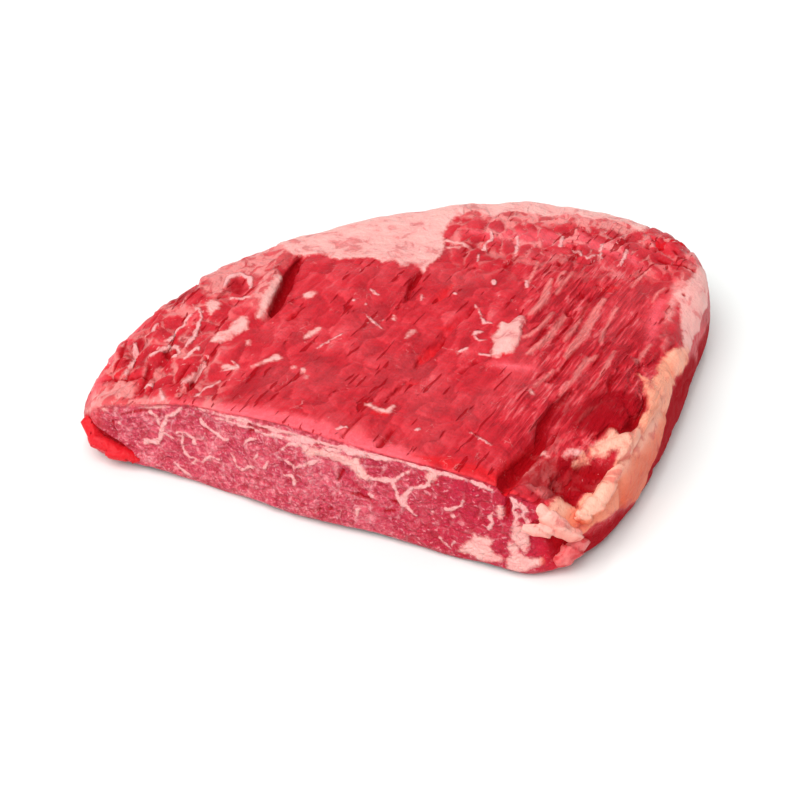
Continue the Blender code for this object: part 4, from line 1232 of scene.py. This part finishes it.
def beef_material(colours):
    """Raw beef as the knife and the skinning left it: lean with its grain, membrane, seams and fat.

    Moist lean is translucent, with painted shade in its cracks and hollows, paler where fat runs through
    the fibres, with a soft satin shine. Fat is paler, more opaque and slightly waxy.
    """
    material = bpy.data.materials.new(BEEF)
    material.use_nodes = True
    tree = material.node_tree
    shader = tree.nodes["Principled BSDF"]
    add = partial(add_node, tree)
    colour = {name: (*getattr(colours, name), 1) for name in SteakColours.__annotations__}
    soft = {"interpolation_type": "SMOOTHSTEP"}
    times, times_and_add = {"operation": "MULTIPLY"}, {"operation": "MULTIPLY_ADD"}

    def painted(under, *layers):
        """Lays colours over one another. A layer is a colour, its share and that share's factors."""
        for over, share, *factors in layers:
            for factor in factors:
                share = add("Math", share, factor, **times)
            under = add("Mix", share, under, over, data_type="RGBA")
        return under

    # Places in millimetres, and the same places turned so that X runs along the grain.
    value = {"place": add("VectorMath", add("TexCoord", output=3), (1 / MM,) * 3, **times)}
    turn = math.radians(-GRAIN_ANGLE)
    value["grain"] = add("VectorRotate", value["place"], None, turn, rotation_type="Z_AXIS")
    value |= {name: add("Attribute", output=2, attribute_name=name) for name in FIELDS}
    for name, (follows, size, detail, roughness, warp) in TEXTURES.items():
        steps = add("VectorMath", value[follows], tuple(1 / s for s in size), **times)
        value[name] = add("TexNoise", steps, 1, detail, roughness, None, warp)
    # Knobs of fibre ends on the cut face, 2 mm across, out of line by a few millimetres.
    shift = value["sway"].node.outputs["Color"]
    swayed = add("VectorMath", shift, (5, 5, 5), value["place"], **times_and_add)
    knobs = add("VectorMath", swayed, (1 / 1.9, 1 / 1.9, 1 / 1.6), **times)
    value["knob"] = add("TexVoronoi", knobs, 1, feature="F1")
    for name, (source, start, full) in STEPS.items():
        value[name] = add("MapRange", value[source], start, full, **soft)
    for name, (source, share, base) in LEVELS.items():
        value[name] = add("Math", value[source], share, base, **times_and_add)
    for name, (small, slow, softness) in MARK_EDGES.items():
        depth = add("Math", value["wander"], small, value[name], **times_and_add)
        depth = add("Math", value["slow_wander"], slow, depth, **times_and_add)
        value[name] = add("MapRange", depth, -softness, softness, **soft)

    # The lean and the cut face each run through four tones, by a sum of values with their shares.
    fibres = {"fibre_swing": value["fibre_share"]}
    ramps = {
        "lean": (
            # The slope of each flake makes its raised side paler, a painted highlight.
            fibres | {"strands": 0.48, "patches": 0.5, "tone": 0.05, "slope": 0.1},
            {"lean_deep": 0.34, "lean": 0.5, "lean_pale": 0.65, "lean_pink": 0.8},
        ),
        "cut": (
            {"grains": 0.42, "bundles": 0.45, "patches": 0.5, "tone": 0.055},
            {"cut_deep": 0.32, "cut_lean": 0.48, "cut_pale": 0.6, "cut_pink": 0.74},
        ),
    }
    for name, (shares, stops) in ramps.items():
        mix = 0.5 - sum(share for source, share in shares.items() if source in TEXTURES) / 2
        for source, share in shares.items():
            mix = add("Math", value[source], share, mix, **times_and_add)
        value[name] = add("ValToRGB", mix)
        elements = value[name].node.color_ramp.elements
        while len(elements) < len(stops):
            elements.new(0.5)
        for element, (tone, position) in zip(elements, stops.items()):
            element.position = position
            element.color = colour[tone]
    lean = painted(value["lean"], (colour["haze"], value["haze"], 0.18))

    # The cut face reddens towards the corner, where it is fresher. Each bundle has pale tissue or a crevice
    # of painted shade round it, each knob a painted highlight on its top and painted shade in its crease,
    # and pale specks are painted wet glints.
    crevice_shade = add("Math", value["between"], value["dark_here"], **times)
    cut_lean = painted(
        value["cut"],
        (colour["cut_fresh"], value["fresher"], 0.88),
        (colour["cut_pink"], value["between"], value["pale_here"], value["pale_share"]),
        (colour["cut_deep"], crevice_shade, 0.35),
        (colour["shade"], value["knob_crease"], value["knob_share"], 0.45),
        (colour["cut_pink"], value["knob_highlight"], value["knob_share"], 0.5),
        (colour["cut_pink"], value["speck"], value["sparkle_share"]),
    )

    # White fat is mottled where lean shows through it. The strip is painted palest where it is high and faces
    # up, a painted highlight, and deep orange in its creases and lower faces, a painted shade. Fat stops at
    # cracks.
    white_fat = painted(colour["fat"], (colour["fat_pink"], value["tint"], 0.6))
    strip_fat = painted(
        colour["strip_deep"],
        (colour["strip"], value["crest"]),
        (colour["strip_crest"], value["top_highlight"], 0.8),
        (colour["strip_deep"], value["tint"], 0.2),
        (colour["strip_deep"], value["crease"], 0.4),
        (colour["strip"], value["pale_lobe"]),
    )
    fat_tone = painted(white_fat, (strip_fat, value["peach"]))
    by_gap = add("Math", value["crack"], -0.9, 1, **times_and_add)
    fat = add("Math", value["fat"], by_gap, **times)
    uncut = add("Math", value["cut_face"], -1, 1, **times_and_add)
    thin = add("Math", add("Math", value["thin"], 0.45, **times), uncut, **times)
    fat_share = add("Math", thin, -1, 0.96, **times_and_add)

    # Cracks: the drawn ones, fine ones along the fibres and some round loose flakes, all with painted shade.
    split = add("Math", value["wander"], 0.02, value["splits"], **times_and_add)
    split = add("Math", split, value["split_here"], operation="ADD")
    split = add("MapRange", split, 0.66, 0.71, **soft)
    flake = add("Math", add("Math", value["between"], value["flake_here"], **times), value["veil"], **times)
    split = add("Math", add("Math", split, flake, operation="MAXIMUM"), uncut, **times)
    split = add("Math", split, add("Math", fat, -1, 1, **times_and_add), **times)
    crack = add("Math", value["crack"], add("Math", split, 0.9, **times), operation="MAXIMUM")

    # Loose membrane lies in threads along the raised sides of the flakes, and there are fine hairs of
    # tissue and flecks of fat. None of them shows in cracks and few in the painted shade.
    whole = add("Math", crack, -1, 1, **times_and_add)
    lit = add("Math", value["shade"], -0.8, 1, **times_and_add)
    thread = add("Math", value["slope"], 0.5, value["thread"], **times_and_add)
    net = add("MapRange", add("Math", thread, value["edge"], operation="SUBTRACT"), -0.8, 0.8, **soft)
    for factor in (value["veil"], uncut, whole, lit):
        net = add("Math", net, factor, **times)
    hair = add("Math", add("Math", value["hairs"], 0.5, operation="SUBTRACT"), operation="ABSOLUTE")
    hair = add("MapRange", hair, 0.011, -0.001, **soft)
    fleck = add("Math", value["veil"], 0.07, value["flecks"], **times_and_add)
    fleck = add("MapRange", fleck, 0.71, 0.77, **soft)
    no_gap = add("Math", value["crack"], -1, 1, **times_and_add)

    body = painted(
        painted(lean, (cut_lean, value["cut_face"])),
        (colour["blush"], value["blush"], value["blush_grain"], value["blush_veil"], value["blush_strands"]),
        (colour["ridge"], value["ridge"], value["ridge_share"]),
        (colour["shade"], value["shade"], 0.85),
        (painted(colour["fresh"], (colour["cut_fresh"], value["cut_face"])), value["fresh"], 0.92),
        (colour["crack"], crack, 0.9),
        (colour["film"], net, 0.75),
        (colour["seam"], hair, value["hair_here"], lit, 0.35),
        (colour["seam"], fleck, 0.7),
        (colour["film"], value["film"], value["film_share"], no_gap, lit),
        (colour["seam"], value["seam"], 0.9),
        (fat_tone, fat, fat_share),
    )
    tree.links.new(body, shader.inputs["Base Color"])

    # Moist, but dull where light hardly reaches.
    damp = add("Math", value["shade"], 0.25, value["damp"], **times_and_add)
    tree.links.new(add("Math", fat, 0.06, damp, **times_and_add), shader.inputs["Roughness"])
    hidden = add("Math", value["shade"], crack, operation="MAXIMUM")
    exposed = add("Math", hidden, -0.9, 1, **times_and_add)
    tree.links.new(add("Math", exposed, 0.25, **times), shader.inputs["Specular IOR Level"])
    tree.links.new(add("Math", exposed, 0.10, **times), shader.inputs["Coat Weight"])
    for name, setting in BEEF_SHADER.items():
        shader.inputs[name].default_value = setting

    # Relief too fine for the mesh: fibres of 1 mm, ends of fibres in knobs, crevices and fine cracks.
    on_top = add("Math", value["fibres"], value["fibre_height"], **times)
    on_top = add("Math", value["uneven"], 0.8, on_top, **times_and_add)
    on_top = add("Math", net, 0.5, on_top, **times_and_add)
    on_cut = add("Math", value["knob"], -0.9, add("Math", value["grains"], 0.5, **times), **times_and_add)
    on_cut = add("Math", crevice_shade, -0.3, on_cut, **times_and_add)
    height = add("Mix", value["cut_face"], on_top, on_cut, data_type="FLOAT")
    height = add("Math", split, -0.35, height, **times_and_add)
    height = add("Math", value["seam"], 0.4, height, **times_and_add)
    bump = add("Bump", 1, BUMP_DEPTH, None, height)
    tree.links.new(bump, shader.inputs["Normal"])
    tree.links.new(bump, shader.inputs["Coat Normal"])
    return material


def floor_material(colour):
    """Matt white studio paper: even, without a pattern that would show."""
    material = bpy.data.materials.new("matt_white_paper")
    material.use_nodes = True
    shader = material.node_tree.nodes["Principled BSDF"]
    shader.inputs["Base Color"].default_value = (*colour, 1)
    shader.inputs["Roughness"].default_value = 0.9
    shader.inputs["Specular IOR Level"].default_value = 0.1
    return material


def colour_choice(name, hex_colour, description):
    """A colour that the user may change, given as sRGB hex."""
    return FloatVectorProperty(
        name=name, description=description, subtype="COLOR", size=3, min=0, max=1, default=linear(hex_colour)
    )


def size_choice(name, axis, description):
    """A size of the whole piece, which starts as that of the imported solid."""
    size = CAD_BOX[1][axis] - CAD_BOX[0][axis]
    return FloatProperty(name=name, description=description, unit="LENGTH", min=0.01, default=size)


def strength_choice(name, strength, description, **limits):
    """A strength that the user may change."""
    return FloatProperty(name=name, description=description, min=0, default=strength, **limits)


class SteakSizes(bpy.types.PropertyGroup):
    length: size_choice("Length", 0, "From the tip to the far end")
    width: size_choice("Width", 1, "From the corner of the cut to the back")
    thickness: size_choice("Thickness", 2, "From the floor to the highest swell")
    depth_of_marks: strength_choice("Depth of marks", 1.0, "How far the marks and the grain stand out", max=3)


class SteakColours(bpy.types.PropertyGroup):
    lean_deep: colour_choice("Deep lean", "#b01624", "Lean between the fibres")
    lean: colour_choice("Lean", "#cc212f", "Lean of the top")
    lean_pale: colour_choice("Pale lean", "#db3a45", "Lean where the fibres stand up")
    lean_pink: colour_choice("Pink lean", "#e8696d", "Fine fat between the fibres")
    # Darker cut face: a random tone of the bundles, and the painted shade in the crevices between them.
    cut_deep: colour_choice("Deep cut face", "#b8304a", "Hollows of the cut face")
    cut_lean: colour_choice("Cut face", "#d04a5e", "Fibre ends of the cut face")
    cut_pale: colour_choice("Pale cut face", "#dd6c7a", "Paler bundles of the cut face")
    # Also used for the painted highlights on the knobs and the painted glints of the specks.
    cut_pink: colour_choice("Pink cut face", "#efa3a8", "Tissue between the bundles")
    fat: colour_choice("Fat", "#f7b7b0", "White fat along the back and in lumps")
    fat_pink: colour_choice("Pink fat", "#ee9b98", "Thin fat that the lean shows through")
    strip: colour_choice("Fat strip", "#fda284", "Peach fat along the right side")
    # The deep strip colour is orange fat and also the shaded copy of the strip, for its lower faces and
    # creases; the crest colour is its painted highlight.
    strip_deep: colour_choice("Deep fat strip", "#e4623f", "Orange fat low on the strip")
    strip_crest: colour_choice("Crest of the strip", "#fec0aa", "Pale peach fat on the crest of the strip")
    haze: colour_choice("Clouded lean", "#cf5b62", "Lean under a cloud of thin membrane")
    cut_fresh: colour_choice("Fresh cut face", "#bc1236", "Cut face towards the corner")
    film: colour_choice("Membrane", "#ee9894", "Thin membrane over the lean")
    seam: colour_choice("Seam", "#f8b0ae", "Lines of connective tissue")
    ridge: colour_choice("Ridge", "#f08884", "Pale ridges of the coarse grain")
    fresh: colour_choice("Fresh red", "#dc1420", "Freshly cut, saturated places")
    # Along the rim of the cut this bright red is a painted glow of light through the thin lean.
    blush: colour_choice("Bright red", "#fb636f", "Lean that thins out over the rim of the cut")
    # Painted shade: lean darkened in hollows, in the creases of the knobs and on the shaded side wall.
    shade: colour_choice("Deep red", "#9c0c17", "Lean deep in hollows and on the shaded side")
    # Crimson lean darkened as painted shade in cracks and hollows.
    crack: colour_choice("Crack", "#a20a14", "Depths of cracks and hollows")


class StageLook(bpy.types.PropertyGroup):
    floor: colour_choice("Floor", "#f3f7f5", "Colour of the studio paper")
    key: strength_choice("Key light", 2.4, "Strength of the broad light above")
    fill: strength_choice("Fill light", 1.1, "Strength of the soft light from the front")
    glint: strength_choice("Glint light", 0.30, "Strength of the small light for wet glints")
    sky: strength_choice("Room light", 0.36, "Strength of the light from all sides")


class SteakBody(bpy.types.Operator):
    """Builds the body of the steak, with its top, cut face, natural edge and base, as one closed skin"""

    bl_idname = "steak.body"
    bl_label = "Body of the steak"

    def execute(self, context):
        vertices, faces, distance, cut = skin_mesh()
        piece = mesh_object("steak_body", vertices, faces)
        normals = normals_of(piece.data)
        fields, stands_out = skin_fields(vertices, normals[:, 2], distance, cut)
        stands_out = stands_out * context.scene.steak_sizes.depth_of_marks
        moved(piece.data, vertices + normals * stands_out[:, None])
        record_fields(piece.data, fields)
        finished(piece, beef())
        return {"FINISHED"}


class SteakRolls(bpy.types.Operator):
    """Builds the soft pieces that stand out of the wall: the red lip, the petals and the flap"""

    bl_idname = "steak.rolls"
    bl_label = "Lip, petals and flap"

    def execute(self, context):
        for name, line in ROLLS.items():
            vertices, faces = roll_mesh(line)
            piece = mesh_object(name.replace(" ", "_"), vertices, faces)
            normals = normals_of(piece.data)
            _, _, facets = cells(vertices[:, :2] + 0.7 * vertices[:, 2:], (6, 5), 28)
            stands_out = 0.5 * lumps(vertices[:, [0, 2]], (4, 3), 11) + 0.5 * facets
            moved(piece.data, vertices + normals * stands_out[:, None])
            settings = dict.fromkeys(MARKS, -REACH) | dict.fromkeys(SURFACE, 0)
            settings |= {"edge": 2, "corner_side": 1} | ROLL_KINDS[name]
            fields = {field: np.full(len(vertices), v, float) for field, v in settings.items()}
            # Faces that point up get the painted highlight of the strip.
            fields["crest"] = smooth_step(-0.9, 0.5, normals[:, 2])
            record_fields(piece.data, fields)
            finished(piece, beef())
        return {"FINISHED"}


class StageOperator(bpy.types.Operator):
    """Builds the stage: pale floor, broad soft light and the camera"""

    bl_idname = "steak.stage"
    bl_label = "Stage"

    def execute(self, context):
        look = context.scene.stage_look
        mesh = bpy.data.meshes.new("floor")
        corners = [(x * FLOOR_REACH, y * FLOOR_REACH, 0) for x, y in ((-1, -1), (1, -1), (1, 1), (-1, 1))]
        mesh.from_pydata(corners, [], [[0, 1, 2, 3]])
        mesh.materials.append(floor_material(look.floor))
        floor = bpy.data.objects.new("floor", mesh)
        context.scene.collection.objects.link(floor)

        world = bpy.data.worlds.new("studio")
        world.use_nodes = True
        background = world.node_tree.nodes["Background"]
        background.inputs["Color"].default_value = (1, 1, 1, 1)
        background.inputs["Strength"].default_value = look.sky
        context.scene.world = world

        for name, (width, heading) in LIGHTS.items():
            lamp = bpy.data.lights.new(name, "SUN")
            lamp.energy = getattr(look, name)
            lamp.angle = math.radians(width)
            stand = bpy.data.objects.new(name, lamp)
            stand.rotation_euler = Vector(heading).to_track_quat("-Z", "Y").to_euler()
            context.scene.collection.objects.link(stand)

        lens = bpy.data.cameras.new("camera")
        lens.lens = CAMERA_LENS_MM
        lens.sensor_width = CAMERA_SENSOR_MM
        camera = bpy.data.objects.new("camera", lens)
        aim = Vector(CAMERA_AIM)
        tilt = math.radians(CAMERA_TILT)
        camera.location = aim + CAMERA_DISTANCE * Vector((0, -math.cos(tilt), math.sin(tilt)))
        camera.rotation_euler = (aim - camera.location).to_track_quat("-Z", "Y").to_euler()
        context.scene.collection.objects.link(camera)
        context.scene.camera = camera
        context.scene.view_settings.view_transform = "Standard"
        return {"FINISHED"}


class SteakPanel(bpy.types.Panel):
    """Lists the steps that build the steak, with its sizes and colours"""

    bl_idname = "STEAK_PT_build"
    bl_label = "Raw flank steak"
    bl_space_type = "VIEW_3D"
    bl_region_type = "UI"
    bl_category = "Steak"

    def draw(self, context):
        for group in ("steak_sizes", "steak_colours", "stage_look"):
            settings = getattr(context.scene, group)
            for name in type(settings).__annotations__:
                self.layout.prop(settings, name)
        for operator in (SteakBody, SteakRolls, StageOperator):
            self.layout.operator(operator.bl_idname)


CLASSES = (SteakSizes, SteakColours, StageLook, SteakBody, SteakRolls, StageOperator, SteakPanel)


def beef():
    """The one beef material, made on first use."""
    return bpy.data.materials.get(BEEF) or beef_material(bpy.context.scene.steak_colours)


def register():
    for cls in CLASSES:
        bpy.utils.register_class(cls)
    bpy.types.Scene.steak_sizes = PointerProperty(type=SteakSizes)
    bpy.types.Scene.steak_colours = PointerProperty(type=SteakColours)
    bpy.types.Scene.stage_look = PointerProperty(type=StageLook)


def unregister():
    del bpy.types.Scene.stage_look
    del bpy.types.Scene.steak_colours
    del bpy.types.Scene.steak_sizes
    for cls in reversed(CLASSES):
        bpy.utils.unregister_class(cls)


def main():
    """Registers the add-on and builds every piece and the stage."""
    register()
    bpy.ops.steak.body()
    bpy.ops.steak.rolls()
    bpy.ops.steak.stage()


if __name__ == "__main__":
    main()
